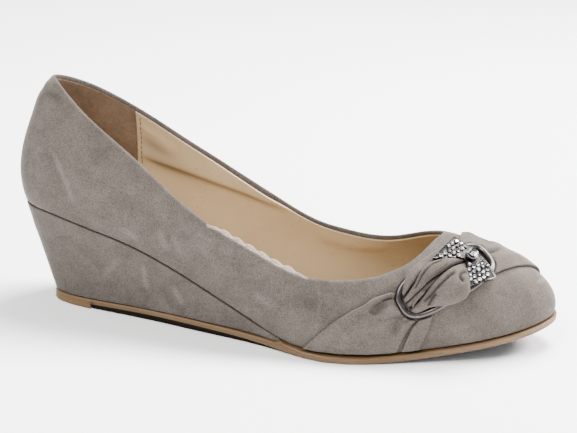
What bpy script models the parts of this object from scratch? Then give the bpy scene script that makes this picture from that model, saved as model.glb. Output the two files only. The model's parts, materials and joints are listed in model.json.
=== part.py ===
"""Wedge pump with a gathered vamp, a twisted strap and a stone-set buckle.

The right shoe of a pair, standing empty on its sole, in metres. +X runs to the toe, +Y to the
inner side of the foot, +Z up. The origin is on the floor under the middle of the heel.
"""

import math
from collections import namedtuple

import bmesh
import bpy
import numpy as np
from mathutils import Vector
from mathutils.bvhtree import BVHTree

MM = 0.001

# Last: the shape that every piece follows
LAST_LENGTH = 256 * MM
BALL_WIDTH = 80 * MM
COLLAR_RISE = 60 * MM
HEEL_RISE = 41 * MM
TOE_SPRING = 13 * MM

# Thicknesses
WALL = 2.1 * MM
INSOLE_THICKNESS = 2.6 * MM
SOLE_THICKNESS = 3.0 * MM
CLOTH = 1.1 * MM

# Sole and wedge
ARCH_GAP = 2.9 * MM
WEDGE_SLANT = 18 * MM
SOLE_EDGE = 1.3 * MM
SOLE_ROUND = 0.5 * MM
HEEL_REST = 0.115
LIFT_FRONT = 0.156
WEDGE_FRONT = 0.515
TREAD_START = 0.60
TREAD_END = 0.68
SPRING_CURVE = 1.4

# Clearances
GAP = 0.3 * MM
INSOLE_CLEARANCE = 0.6 * MM
STEP_RUN = 0.4 * MM

# Buckle
RING_LENGTH = 45.5 * MM
RING_WIDTH = 18.6 * MM
RING_FLARE = 0.06
RING_WIRE = 2.6 * MM
RING_SQUARENESS = 3
BOW_LENGTH = 18.5 * MM
BOW_WIDTH = 14 * MM
BOW_THICKNESS = 1.6 * MM
BOW_MARGIN = 2.2 * MM
SETTING_DIAMETER = 5.6 * MM
SETTING_HEIGHT = 1.5 * MM
STONE_DIAMETER = 4.4 * MM
STONE_HEIGHT = 2.6 * MM

# Twisted strap inside the ring: the share of the ring's inside that it fills along, and how much
# its bed and its folds fall off to the long edges
TWIST_BED = 2.9 * MM
TWIST_RIDGE = 2.2 * MM
TWIST_REACH = 0.98
BED_FALL = 0.35
FOLD_FALL = 0.6

# How finely the surfaces are divided
UPPER_TURNS = 96
UPPER_RISES = 13
SOLE_STATIONS = 38
WEDGE_STATIONS = 28
WEDGE_CROWDING = 1.6
FINE_TURNS = 400
FINE_RISES = 61
OUTER_DRAPE_GRID = (10, 23)
STRAP_TAIL_GRID = (8, 7)
INNER_DRAPE_GRID = (15, 17)
TWIST_GRID = (23, 13)
RING_STATIONS = 44
BOW_GRID = (10, 7)
TURNED_STEPS = 20

# A slope over three times the flatter side's climb would swing a curve past its rows
STEEPEST_SLOPE = 3

# One row for each rib of the upper, around the shoe from the back of the heel by the outer side.
# Along and across are shares of the last's length and ball width, and top_rise is a share of the
# collar's rise over the heel seat. The handles are shares of the rib's own height: how far it
# leaves the foot line outwards and upwards, and reaches the topline from outside and below.
# wedge_in is a share of the wedge's slant, and sole_out one of the sole's edge.
Rib = namedtuple("Rib", "foot_along foot_across top_along top_across top_rise "
                        "foot_out foot_up top_out top_down wedge_in sole_out")
RIBS = [
    Rib(.012, .000, .054, .000, 1.02, .130, .33, .120, .33, 1.00, .3),   # back of the heel
    Rib(.052, -.190, .087, -.155, 1.01, .120, .33, .115, .30, .58, .3),
    Rib(.137, -.285, .157, -.260, .855, .100, .30, .090, .25, .36, .3),
    Rib(.256, -.325, .267, -.340, .675, .100, .30, .080, .25, .20, .3),  # outer waist
    Rib(.377, -.380, .371, -.430, .567, .100, .32, .050, .26, .04, .6),
    Rib(.492, -.465, .488, -.490, .567, .100, .32, .050, .26, .02, 1),
    Rib(.600, -.550, .586, -.485, .536, .090, .32, .060, .26, -.10, 1),  # outer ball
    Rib(.698, -.500, .680, -.395, .560, .080, .34, .100, .20, -.07, 1),
    Rib(.806, -.395, .741, -.240, .655, .080, .34, .340, .16, .00, 1),
    Rib(.924, -.235, .772, -.090, .736, .080, .31, .400, .13, .00, .8),
    Rib(.990, .030, .783, .020, .738, .065, .30, .395, .12, .00, .7),     # toe
    Rib(.954, .240, .762, .130, .698, .065, .31, .390, .12, .00, .8),
    Rib(.871, .400, .726, .250, .633, .070, .33, .300, .17, .00, 1),
    Rib(.751, .490, .653, .355, .548, .080, .34, .100, .20, .00, 1),     # inner ball
    Rib(.638, .450, .558, .377, .585, .080, .32, .060, .26, .00, 1),
    Rib(.520, .370, .459, .343, .650, .100, .32, .050, .26, .03, .8),
    Rib(.390, .310, .368, .315, .703, .100, .32, .050, .26, .10, .5),    # inner waist
    Rib(.257, .315, .267, .285, .770, .100, .30, .080, .25, .18, .3),
    Rib(.130, .310, .161, .247, .890, .100, .30, .090, .25, .30, .3),
    Rib(.045, .210, .088, .150, .970, .120, .33, .115, .30, .58, .3),
]

# The shoe's side view, heel to toe: the arch under the sole, the sole's own thickness and the rise
# of the foot's seat over it, as shares of the arch gap, sole thickness and heel rise.
Section = namedtuple("Section", "along arch sole seat")
SIDE_VIEW = [
    Section(.00, .72, .77, 1.02),
    Section(.08, .80, .77, .995),
    Section(.16, .84, .77, .890),
    Section(.24, .95, .77, .748),
    Section(.32, 1.0, .78, .548),
    Section(.40, .88, .80, .330),
    Section(.46, .68, .86, .175),
    Section(.52, .34, .92, .040),
    Section(.56, .12, .96, .000),
    Section(TREAD_START, .00, 1.0, .000),
    Section(.70, .00, 1.0, .000),
    Section(1.0, .00, 1.0, .000),
]

# The buckle's middle and the way its long side points, as a rib and a share of that rib's height
Spot = namedtuple("Spot", "rib rise")
BUCKLE_MIDDLE = Spot(8.44, .660)
BUCKLE_HEADING = Spot(9.78, .695)

# Gathered cloth runs in rays from the ring, by its angle in degrees, over a middle spot to a rib
# at the sole.
Ray = namedtuple("Ray", "ring_angle middle_rib middle_rise sole_rib")
OUTER_DRAPE = [
    Ray(155, 6.45, .53, 5.70),
    Ray(180, 6.68, .43, 6.25),
    Ray(203, 6.98, .34, 6.80),
    Ray(222, 7.42, .24, 7.28),
]
STRAP_TAIL = [
    Ray(228, 7.50, .24, 7.36),
    Ray(247, 7.78, .24, 7.62),
]
INNER_DRAPE = [
    Ray(-42, 10.35, .38, 11.15),
    Ray(-5, 10.72, .47, 11.65),
    Ray(30, 11.15, .56, 12.15),
    Ray(64, 11.60, .66, 12.65),
]

# Where the drapes end above the sole, as a share of the rib's height
DRAPE_FOOT = 0.035

# Pleats across a drape: place and half width as shares of its breadth, and height over the cloth
# at the ring and at the sole as shares of the cloth's thickness.
Pleat = namedtuple("Pleat", "across half_width at_ring at_sole")
OUTER_PLEATS = [
    Pleat(.10, .10, .9, .15),
    Pleat(.38, .09, 1.4, .25),
    Pleat(.62, .08, 1.2, .20),
    Pleat(.88, .09, 1.0, .15),
]
TAIL_PLEATS = [
    Pleat(.50, .45, .5, .20),
]
INNER_PLEATS = [
    Pleat(.22, .12, .8, .10),
    Pleat(.52, .10, 1.1, .15),
    Pleat(.80, .12, .7, .10),
]

# Folds of the twisted strap, each a soft ridge between two spots given as shares of the ring's
# inner half length and half width, with its half width as a share of the ring's width.
Fold = namedtuple("Fold", "from_along from_across to_along to_across half_width height")
TWIST_FOLDS = [
    Fold(-.75, -.50, .25, -.36, .20, 1.0),
    Fold(-.88, .20, .40, .30, .11, .95),
    Fold(-.80, .45, .00, .80, .10, .7),
]

# Bow plate from its throat end to its toe end: middle of each section in shares of the ring's half
# length and the bow's half length, its turn in degrees, and its half width as a share of the bow's
BowSection = namedtuple("BowSection", "forward aside turn half_width")
BOW_SECTIONS = [
    BowSection(.25, .90, 11, 1.0),
    BowSection(.42, .57, 10, .72),
    BowSection(.59, .16, 0, .44),
    BowSection(.53, -.43, -4, .83),
    BowSection(.48, -.97, -13, .97),
]

# Half profiles of the setting and its stone, from the top of the inside around to the foot, as
# shares of their own radius and height. The setting's bore is the stone's radius and a gap.
Turn = namedtuple("Turn", "radius height")
SETTING_FLOOR = 0.35
SETTING_SHOULDER = 0.8
STONE_PROFILE = [
    Turn(.00, 1.00),
    Turn(.62, 1.00),
    Turn(1.0, .60),
    Turn(1.0, .45),
    Turn(.40, .00),
    Turn(.00, .00),
]


def smooth_read(place, places, values):
    """Read a smooth curve through (places, values), which never swings past the rows' values."""
    climbs = np.diff(values) / np.diff(places)
    inner = np.where(climbs[1:] * climbs[:-1] > 0, np.gradient(values, places)[1:-1], 0)
    steepest = STEEPEST_SLOPE * np.minimum(abs(climbs[1:]), abs(climbs[:-1]))
    slopes = np.concatenate([climbs[:1], np.clip(inner, -steepest, steepest), climbs[-1:]])
    step = np.clip(np.searchsorted(places, place, side="right") - 1, 0, len(places) - 2)
    span = places[step + 1] - places[step]
    part = np.clip((place - places[step]) / span, 0, 1)
    rise = values[step + 1] - values[step]
    ease = part * part * (3 - 2 * part)
    lead = part * (1 - part) ** 2 * slopes[step]
    trail = part * part * (part - 1) * slopes[step + 1]
    return values[step] + ease * rise + span * (lead + trail)


def closed_spline(rows, turns):
    """Values and slopes of the smooth closed curve through the rows, a row at each whole turn."""
    count = len(rows)
    matrix = 4 * np.eye(count) + np.roll(np.eye(count), 1, 1) + np.roll(np.eye(count), -1, 1)
    bends = np.linalg.solve(matrix, 6 * (np.roll(rows, -1, 0) - 2 * rows + np.roll(rows, 1, 0)))
    first = np.floor(turns).astype(int) % count
    second = (first + 1) % count
    part = (turns % 1)[:, None]
    rest = 1 - part
    values = (rest * rows[first] + part * rows[second]
              + (rest ** 3 - rest) * bends[first] / 6 + (part ** 3 - part) * bends[second] / 6)
    slopes = (rows[second] - rows[first]
              + (1 - 3 * rest ** 2) * bends[first] / 6 + (3 * part ** 2 - 1) * bends[second] / 6)
    return values, slopes


SIDE = np.array(SIDE_VIEW)
RIB_ROWS = np.array(RIBS)
SHOE_TURN = len(RIBS)


def along(share):
    """X of a share of the last's length, measured from the middle of the heel rest."""
    return LAST_LENGTH * (share - HEEL_REST)


def share_of(x):
    """Share of the last's length at an X."""
    return x / LAST_LENGTH + HEEL_REST


def side_curve(x, column):
    """One column of the side view at each X."""
    places = along(SIDE[:, Section._fields.index("along")])
    return smooth_read(np.asarray(x, float), places, SIDE[:, Section._fields.index(column)])


def toe_lift(x):
    """Height that the toe spring adds at each X."""
    ahead = np.clip((share_of(x) - TREAD_END) / (1 - TREAD_END), 0, None)
    return TOE_SPRING * ahead ** SPRING_CURVE


def arch_height(x):
    """Height of the sole's underside ahead of the heel lift."""
    return ARCH_GAP * side_curve(x, "arch") + toe_lift(x)


def wedge_floor(x):
    """Top of the sole under the wedge."""
    return arch_height(x) + SOLE_THICKNESS * side_curve(x, "sole")


def seat_height(x):
    """Height of the surface that the upper's edge and the insole stand on."""
    return wedge_floor(x) + HEEL_RISE * side_curve(x, "seat") + GAP


def plan_outward(slopes):
    """Unit normals in plan that point away from the shoe, from slopes that run around it."""
    normals = np.column_stack([slopes[:, 1], -slopes[:, 0]])
    return normals / np.linalg.norm(normals, axis=1)[:, None]


def ribs_at(turns):
    """The ribs' readings by name, with the foot line's points and outward normals in plan."""
    values, slopes = closed_spline(RIB_ROWS, turns)
    reading = dict(zip(Rib._fields, values.T))
    foot = np.column_stack([along(reading["foot_along"]), BALL_WIDTH * reading["foot_across"]])
    outward = plan_outward(slopes[:, :2] * [LAST_LENGTH, BALL_WIDTH])
    return reading, foot, outward


def upper_surface(turns, rises):
    """Outer surface of the upper: a row of points around the shoe for each rise from 0 to 1."""
    reading, foot, outward = ribs_at(turns)
    top = np.column_stack([along(reading["top_along"]), BALL_WIDTH * reading["top_across"]])
    foot_height = seat_height(foot[:, 0])
    top_height = seat_height(top[:, 0]) + COLLAR_RISE * reading["top_rise"]
    start = np.column_stack([foot, foot_height])
    finish = np.column_stack([top, top_height])
    span = np.linalg.norm(finish - start, axis=1)
    side = np.column_stack([outward, np.zeros(len(turns))]) * span[:, None]
    lift = np.outer(span, [0, 0, 1])
    lower = start + side * reading["foot_out"][:, None] + lift * reading["foot_up"][:, None]
    upper = finish + side * reading["top_out"][:, None] - lift * reading["top_down"][:, None]
    part = np.asarray(rises)[:, None, None]
    rest = 1 - part
    return (rest ** 3 * start + 3 * rest ** 2 * part * lower
            + 3 * rest * part ** 2 * upper + part ** 3 * finish)


def foot_outline(turns):
    """Plan of the line where the upper meets what is under it, with its outward normals."""
    _, foot, outward = ribs_at(turns)
    return foot, outward


def insole_outline(turns):
    """Plan of the insole, inside the upper's wall."""
    foot, outward = foot_outline(turns)
    return foot - outward * (WALL + INSOLE_CLEARANCE), outward


def wedge_foot_outline(turns):
    """Plan of the wedge's lower edge."""
    reading, foot, outward = ribs_at(turns)
    return foot - outward * WEDGE_SLANT * reading["wedge_in"][:, None], outward


def sole_outline(turns):
    """Plan of the outsole's edge."""
    reading, _, _ = ribs_at(turns)
    edge, outward = wedge_foot_outline(turns)
    return edge + outward * SOLE_EDGE * reading["sole_out"][:, None], outward


def both_sides(outline):
    """The outline cut at its two ends: tables of x, y and normal for the outer and inner side."""
    turns = np.linspace(0, SHOE_TURN, 10 * FINE_TURNS, endpoint=False)
    points, outward = outline(turns)
    table = np.column_stack([points, outward])
    table = np.roll(table, -int(np.argmin(points[:, 0])), axis=0)
    tip = int(np.argmax(table[:, 0]))
    return table[:tip + 1], np.vstack([table[tip:], table[:1]])[::-1]


def outline_ring(outline, stops=(), front=None):
    """Points and normals around an outline at shared stations, from the heel's end.

    The outer side comes first. Stops are extra stations. With a front the ring ends there in a
    straight edge across the shoe, and otherwise it closes at the toe's end.
    """
    outer, inner = both_sides(outline)
    heel_end = outer[0, 0]
    if front is None:
        toe_end = outer[-1, 0]
        swing = np.linspace(0, math.pi, SOLE_STATIONS + 1)[1:-1]
        stations = heel_end + (toe_end - heel_end) * (1 - np.cos(swing)) / 2
        spacing = LAST_LENGTH / SOLE_STATIONS / 4
        stations = [x for x in stations if all(abs(x - stop) > spacing for stop in stops)]
        stations = np.sort(np.concatenate([stations, np.array(stops, float)]))
    else:
        shares = np.linspace(0, 1, WEDGE_STATIONS + 1)[1:]
        stations = heel_end + (front - heel_end) * shares ** WEDGE_CROWDING
    sides = []
    for table in (outer, inner):
        columns = [np.interp(stations, table[:, 0], table[:, k]) for k in range(1, 4)]
        sides.append(np.column_stack([stations, *columns]))
    rows = [outer[:1], sides[0]]
    if front is None:
        rows.append(outer[-1:])
    rows.append(sides[1][::-1])
    ring = np.vstack(rows)
    normals = ring[:, 2:] / np.linalg.norm(ring[:, 2:], axis=1)[:, None]
    return ring[:, :2], normals


def ring_cap(count, first):
    """Faces that close a ring which starts at the heel's end, by strips across the shoe."""
    faces = [[first, first + 1, first + count - 1]]
    left = 1
    while left + 1 < count - left - 1:
        faces.append([first + left, first + left + 1, first + count - left - 1, first + count - left])
        left += 1
    if count % 2 == 0:
        faces.append([first + left, first + left + 1, first + count - left])
    return faces


def finish_object(name, mesh, material):
    """Put a mesh in the scene as a named object with its material."""
    body = bpy.data.objects.new(name, mesh)
    mesh.materials.append(material)
    PIECES.objects.link(body)
    return body


def mesh_from(name, points, faces, sharp_degrees=40, outward=True):
    """A mesh from points and faces, shaded smooth up to the given angle."""
    mesh = bpy.data.meshes.new(name)
    mesh.from_pydata([tuple(point) for point in points], [], faces)
    if outward:
        work = bmesh.new()
        work.from_mesh(mesh)
        bmesh.ops.recalc_face_normals(work, faces=work.faces)
        work.to_mesh(mesh)
        work.free()
    mesh.shade_smooth()
    mesh.set_sharp_from_angle(angle=math.radians(sharp_degrees))
    return mesh


def stacked_solid(name, layers, material):
    """A closed solid from rings of equal count, bottom to top, capped across the shoe."""
    count = len(layers[0])
    faces = []
    for level in range(len(layers) - 1):
        for k in range(count):
            near = level * count + k
            after = level * count + (k + 1) % count
            faces.append([near, after, after + count, near + count])
    faces += ring_cap(count, 0)
    faces += ring_cap(count, (len(layers) - 1) * count)
    return finish_object(name, mesh_from(name, np.vstack(layers), faces), material)


def layer(points, normals, inset, heights):
    """A ring moved inwards in plan and put at its heights."""
    return np.column_stack([points - normals * inset, heights])


def patch_solid(name, outer, inner, material, sharp_degrees=50):
    """A closed solid between two grids of points of the same size."""
    rows, columns, _ = outer.shape
    index = np.arange(rows * columns).reshape(rows, columns)
    faces = []
    for i in range(rows - 1):
        for j in range(columns - 1):
            cell = [index[i, j], index[i, j + 1], index[i + 1, j + 1], index[i + 1, j]]
            faces.append([int(k) for k in cell])
            faces.append([int(k) + rows * columns for k in reversed(cell)])
    edge = [*index[0, :-1], *index[:-1, -1], *index[-1, :0:-1], *index[:0:-1, 0]]
    for k, start in enumerate(edge):
        end = edge[(k + 1) % len(edge)]
        faces.append([int(start), int(end), int(end) + rows * columns, int(start) + rows * columns])
    points = np.vstack([outer.reshape(-1, 3), inner.reshape(-1, 3)])
    return finish_object(name, mesh_from(name, points, faces, sharp_degrees), material)


def make_material(name, colour, roughness, metallic=0.0):
    """A Principled material."""
    material = bpy.data.materials.new(name)
    material.use_nodes = True
    shader = material.node_tree.nodes["Principled BSDF"]
    shader.inputs["Base Color"].default_value = (*colour, 1)
    shader.inputs["Roughness"].default_value = roughness
    shader.inputs["Metallic"].default_value = metallic
    return material


def grid_faces(rows, columns):
    """Quads of a grid whose rows close on themselves."""
    faces = []
    for i in range(rows - 1):
        for j in range(columns):
            after = (j + 1) % columns
            faces.append([i * columns + j, i * columns + after,
                          (i + 1) * columns + after, (i + 1) * columns + j])
    return faces


class Vamp:
    """The upper's outer surface, on which the drapes and the buckle are seated."""

    def __init__(self):
        turns = np.linspace(0, SHOE_TURN, FINE_TURNS, endpoint=False)
        points = upper_surface(turns, np.linspace(0, 1, FINE_RISES))
        faces = grid_faces(FINE_RISES, FINE_TURNS)
        self.tree = BVHTree.FromPolygons([tuple(p) for p in points.reshape(-1, 3)], faces)
        self.middle = self.spot(BUCKLE_MIDDLE)
        _, self.up, _, _ = self.tree.find_nearest(self.middle)
        heading = self.spot(BUCKLE_HEADING) - self.middle
        self.long_way = (heading - self.up * heading.dot(self.up)).normalized()
        self.short_way = self.up.cross(self.long_way)

    def spot(self, spot):
        """Point of the surface at a rib and a share of its height."""
        return Vector(upper_surface(np.array([float(spot.rib)]), [spot.rise])[0, 0])

    def seated(self, point, height):
        """A point moved to the nearest place at a height over the surface."""
        place, normal, _, _ = self.tree.find_nearest(Vector(point))
        return place + normal * height

    def over_buckle(self, forward, aside, height):
        """Place at a height over the surface, from lengths along and across the buckle."""
        above = self.middle + self.long_way * forward + self.short_way * aside
        place, normal, _, _ = self.tree.ray_cast(above + self.up * RING_LENGTH, -self.up)
        if place is None:
            place, normal, _, _ = self.tree.find_nearest(above)
        return place + normal * height


def ring_point(angle, grow=0.0):
    """Lengths along and across the buckle of the ring's middle line, grown by a margin."""
    power = 2 / RING_SQUARENESS
    forward = math.copysign(abs(math.cos(angle)) ** power, math.cos(angle))
    aside = math.copysign(abs(math.sin(angle)) ** power, math.sin(angle))
    return forward * (RING_LENGTH / 2 + grow), aside * (ring_half_width(forward) + grow)


def ring_half_width(forward):
    """Half width of the ring at a share of its half length: it widens to the far end."""
    return RING_WIDTH / 2 * (1 + RING_FLARE * forward)


def make_outsole(material):
    """Outsole: heel lift, arch, flat tread and toe spring, with a step that ends the wedge."""
    lift = along(LIFT_FRONT)
    front = along(WEDGE_FRONT)
    stops = [lift - STEP_RUN / 2, lift + STEP_RUN / 2, front, front + STEP_RUN,
             along(TREAD_START), along(TREAD_END)]
    points, normals = outline_ring(sole_outline, stops)
    x = points[:, 0]
    under = np.where(x < lift, 0, arch_height(x))
    over = wedge_floor(x) + np.where(x > front + STEP_RUN / 2, HEEL_RISE * side_curve(x, "seat"), 0)
    return stacked_solid("outsole", [
        layer(points, normals, SOLE_ROUND, under),
        layer(points, normals, 0, under + SOLE_ROUND),
        layer(points, normals, 0, over - SOLE_ROUND),
        layer(points, normals, SOLE_ROUND, over),
    ], material)


def make_wedge(material):
    """Wedge under the heel and waist, slanting in to its lower edge."""
    front = along(WEDGE_FRONT) - GAP
    turns_top, normals = outline_ring(foot_outline, front=front)
    turns_low, _ = outline_ring(wedge_foot_outline, front=front)
    top = layer(turns_top, normals, 0, seat_height(turns_top[:, 0]) - GAP)
    low = layer(turns_low, normals, 0, wedge_floor(turns_low[:, 0]) + GAP)
    return stacked_solid("wedge", [low, (low + top) / 2, top], material)


def make_insole(material):
    """Insole, lying on the wedge and the sole inside the upper's wall."""
    points, normals = outline_ring(insole_outline)
    under = seat_height(points[:, 0])
    return stacked_solid("insole", [
        layer(points, normals, 0, under),
        layer(points, normals, 0, under + INSOLE_THICKNESS - SOLE_ROUND),
        layer(points, normals, SOLE_ROUND, under + INSOLE_THICKNESS),
    ], material)


def make_upper(material):
    """Upper: an open surface over the last with a wall inwards, open at the collar and below."""
    turns = np.linspace(0, SHOE_TURN, UPPER_TURNS, endpoint=False)
    points = upper_surface(turns, np.linspace(0, 1, UPPER_RISES))
    mesh = mesh_from("upper", points.reshape(-1, 3), grid_faces(UPPER_RISES, UPPER_TURNS), 60, False)
    body = finish_object("upper", mesh, material)
    wall = body.modifiers.new("wall", "SOLIDIFY")
    wall.thickness = WALL
    wall.offset = -1
    wall.use_even_offset = True
    return body


def ray_grid(vamp, rays, along_count, across_count):
    """Points on the surface between rays, from the ring's edge to the sole."""
    table = np.array(rays, float)
    places = np.linspace(0, 1, len(rays))
    start_grow = RING_WIRE / 2 + GAP + GAP / 2
    grid = np.empty((along_count, across_count, 3))
    for j, across in enumerate(np.linspace(0, 1, across_count)):
        angle, rib, rise, sole_rib = (smooth_read(across, places, column) for column in table.T)
        forward, aside = ring_point(math.radians(float(angle)), start_grow)
        start = vamp.over_buckle(forward, aside, 0)
        middle = vamp.spot(Spot(rib, rise))
        finish = vamp.spot(Spot(sole_rib, DRAPE_FOOT))
        control = 2 * middle - (start + finish) / 2
        for i, part in enumerate(np.linspace(0, 1, along_count)):
            path = (1 - part) ** 2 * start + 2 * part * (1 - part) * control + part ** 2 * finish
            grid[i, j] = path
    return grid


def make_drape(name, vamp, rays, pleats, grid, material):
    """Cloth laid over the vamp from the ring to the sole, with pleats that fade on the way."""
    along_count, across_count = grid
    path = ray_grid(vamp, rays, along_count, across_count)
    outer = np.empty_like(path)
    inner = np.empty_like(path)
    for i, part in enumerate(np.linspace(0, 1, along_count)):
        for j, across in enumerate(np.linspace(0, 1, across_count)):
            raised = sum(
                math.exp(-((across - pleat.across) / pleat.half_width) ** 2)
                * (pleat.at_ring + (pleat.at_sole - pleat.at_ring) * part) for pleat in pleats)
            inner[i, j] = vamp.seated(path[i, j], GAP)
            outer[i, j] = vamp.seated(path[i, j], GAP + CLOTH * (1 + raised))
    return patch_solid(name, outer, inner, material)


def fold_height(fold, forward, aside):
    """Height share of a fold at a place inside the ring, in shares of the half sizes."""
    shape = RING_LENGTH / RING_WIDTH
    start = Vector((fold.from_along * shape, fold.from_across))
    run = Vector((fold.to_along * shape, fold.to_across)) - start
    place = Vector((forward * shape, aside))
    part = min(max((place - start).dot(run) / run.length_squared, 0), 1)
    away = (place - start - run * part).length / (2 * fold.half_width)
    return fold.height * math.exp(-away ** 2)


def make_twist(vamp, material):
    """Twisted strap that fills the ring, one soft solid with its folds."""
    rows, columns = TWIST_GRID
    inset = -(RING_WIRE / 2 + GAP + GAP / 2)
    outer = np.empty((rows, columns, 3))
    inner = np.empty_like(outer)
    for i, sweep in enumerate(np.linspace(-1, 1, rows)):
        forward = math.sin(sweep * math.pi / 2) * TWIST_REACH
        reach = (1 - abs(forward) ** RING_SQUARENESS) ** (1 / RING_SQUARENESS)
        half_length = RING_LENGTH / 2 + inset
        half_width = (ring_half_width(forward) + inset) * reach
        for j, aside in enumerate(np.linspace(-1, 1, columns)):
            folds = max(fold_height(fold, forward, aside * reach) for fold in TWIST_FOLDS)
            crown = (TWIST_BED * (1 - BED_FALL * aside ** 4)
                     + TWIST_RIDGE * folds * (1 - FOLD_FALL * aside ** 4))
            place = forward * half_length, aside * half_width
            crown = min(crown, TWIST_BED + max(0, bow_clearance(*place) - BOW_MARGIN))
            inner[i, j] = vamp.over_buckle(*place, GAP)
            outer[i, j] = vamp.over_buckle(*place, GAP + crown)
    return patch_solid("twist", outer, inner, material, 60)


def make_ring(vamp, material):
    """Oval ring of the buckle, bent to the vamp, as a round wire."""
    data = bpy.data.curves.new("buckle_ring", "CURVE")
    data.dimensions = "3D"
    data.bevel_depth = RING_WIRE / 2
    data.bevel_resolution = 2
    data.use_fill_caps = True
    spline = data.splines.new("POLY")
    spline.points.add(RING_STATIONS - 1)
    spline.use_cyclic_u = True
    for k, point in enumerate(spline.points):
        forward, aside = ring_point(2 * math.pi * k / RING_STATIONS)
        place = vamp.over_buckle(forward, aside, RING_WIRE / 2 + GAP + GAP / 2)
        point.co = (*place, 1)
    data.materials.append(material)
    body = bpy.data.objects.new("buckle_ring", data)
    PIECES.objects.link(body)
    return body


def bow_seat():
    """Height of the bow's underside over the vamp."""
    return GAP + max(TWIST_BED, RING_WIRE + GAP / 2) + GAP + GAP / 2


def bow_row(part):
    """Middle, direction and half width of the bow's section at a share of its length."""
    table = np.array(BOW_SECTIONS, float)
    places = np.linspace(0, 1, len(BOW_SECTIONS))
    forward, aside, turn, half_width = (float(smooth_read(part, places, column)) for column in table.T)
    turn = math.radians(turn)
    return (forward * RING_LENGTH / 2, aside * BOW_LENGTH / 2, math.cos(turn), math.sin(turn),
            half_width * BOW_WIDTH / 2)


def bow_clearance(forward, aside):
    """How far a place in the ring lies behind the bow's near edge."""
    rows = [bow_row(part) for part in np.linspace(0, 1, BOW_GRID[0])]
    edge = np.array([[-(row[1] - row[3] * row[4]), row[0] - row[2] * row[4]] for row in rows])
    return float(np.interp(-aside, edge[:, 0], edge[:, 1])) - forward


def make_bow(vamp, material):
    """Bow-shaped plate of the buckle, over the ring and the twisted strap."""
    rows, columns = BOW_GRID
    outer = np.empty((rows, columns, 3))
    inner = np.empty_like(outer)
    low = bow_seat()
    for i, part in enumerate(np.linspace(0, 1, rows)):
        forward, aside, run, rise, half_width = bow_row(part)
        for j, side in enumerate(np.linspace(-half_width, half_width, columns)):
            place = forward + side * run, aside + side * rise
            inner[i, j] = vamp.over_buckle(*place, low)
            outer[i, j] = vamp.over_buckle(*place, low + BOW_THICKNESS)
    return patch_solid("buckle_bow", outer, inner, material)


def turned(name, profile, place, axis, material):
    """A turned piece from a profile of radii and heights, standing at a place along an axis."""
    mesh = bpy.data.meshes.new(name)
    points = [(radius, 0, height) for radius, height in profile]
    mesh.from_pydata(points, [(k, k + 1) for k in range(len(points) - 1)], [])
    body = finish_object(name, mesh, material)
    body.location = place
    body.rotation_mode = "QUATERNION"
    body.rotation_quaternion = Vector((0, 0, 1)).rotation_difference(axis)
    spin = body.modifiers.new("spin", "SCREW")
    spin.axis = "Z"
    spin.steps = TURNED_STEPS
    spin.render_steps = TURNED_STEPS
    spin.use_merge_vertices = True
    spin.merge_threshold = 0.00001
    return body


def make_stone(vamp, metal, crystal):
    """Round setting on the bow's waist, and the stone in it."""
    forward, aside, *_ = bow_row(.5)
    foot = vamp.over_buckle(forward, aside, bow_seat() + BOW_THICKNESS + GAP)
    axis = (foot - vamp.over_buckle(forward, aside, 0)).normalized()
    outer = SETTING_DIAMETER / 2
    bore = STONE_DIAMETER / 2 + GAP
    floor = SETTING_HEIGHT * SETTING_FLOOR
    shoulder = SETTING_HEIGHT * SETTING_SHOULDER
    turned("stone_setting", [
        (0, floor), (bore, floor), (bore, SETTING_HEIGHT), (outer, shoulder), (outer, 0), (0, 0),
    ], foot, axis, metal)
    profile = [(turn.radius * STONE_DIAMETER / 2, floor + GAP + turn.height * STONE_HEIGHT)
               for turn in STONE_PROFILE]
    turned("centre_stone", profile, foot, axis, crystal)


for leftover in list(bpy.data.objects):
    bpy.data.objects.remove(leftover, do_unlink=True)

PIECES = bpy.data.collections.new("wedge_pump")
bpy.context.scene.collection.children.link(PIECES)

TAUPE = make_material("taupe_nubuck", (.31, .27, .24), .85)
BEIGE = make_material("beige_insole", (.60, .44, .29), .65)
TAN = make_material("tan_sole", (.40, .25, .11), .55)
GUNMETAL = make_material("gunmetal", (.12, .11, .10), .25, 1.0)
SILVER = make_material("silver_plate", (.45, .44, .43), .25, 1.0)
CRYSTAL = make_material("crystal", (.80, .80, .82), .05)

VAMP = Vamp()
make_outsole(TAN)
make_wedge(TAUPE)
make_upper(TAUPE)
make_insole(BEIGE)
make_drape("drape_outer", VAMP, OUTER_DRAPE, OUTER_PLEATS, OUTER_DRAPE_GRID, TAUPE)
make_drape("strap_tail", VAMP, STRAP_TAIL, TAIL_PLEATS, STRAP_TAIL_GRID, TAUPE)
make_drape("drape_inner", VAMP, INNER_DRAPE, INNER_PLEATS, INNER_DRAPE_GRID, TAUPE)
make_twist(VAMP, TAUPE)
make_ring(VAMP, GUNMETAL)
make_bow(VAMP, SILVER)
make_stone(VAMP, SILVER, CRYSTAL)
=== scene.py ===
"""Looks of a right wedge pump: nubuck upper with a gathered vamp, lining, sole unit and buckle.

Everything stands in the row's frame, in metres: +X to the toe, +Y to the inner side, +Z up, and
the floor at z = 0. Tables of places and sizes marked as millimetres are scaled by MM.
"""

import json
import logging
import math
import random
from collections.abc import Callable, Iterable, Sequence
from dataclasses import dataclass, replace
from enum import Enum

import bmesh
import bpy
import numpy as np
from mathutils import Matrix, Vector
from mathutils.bvhtree import BVHTree
from mathutils.kdtree import KDTree

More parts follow.
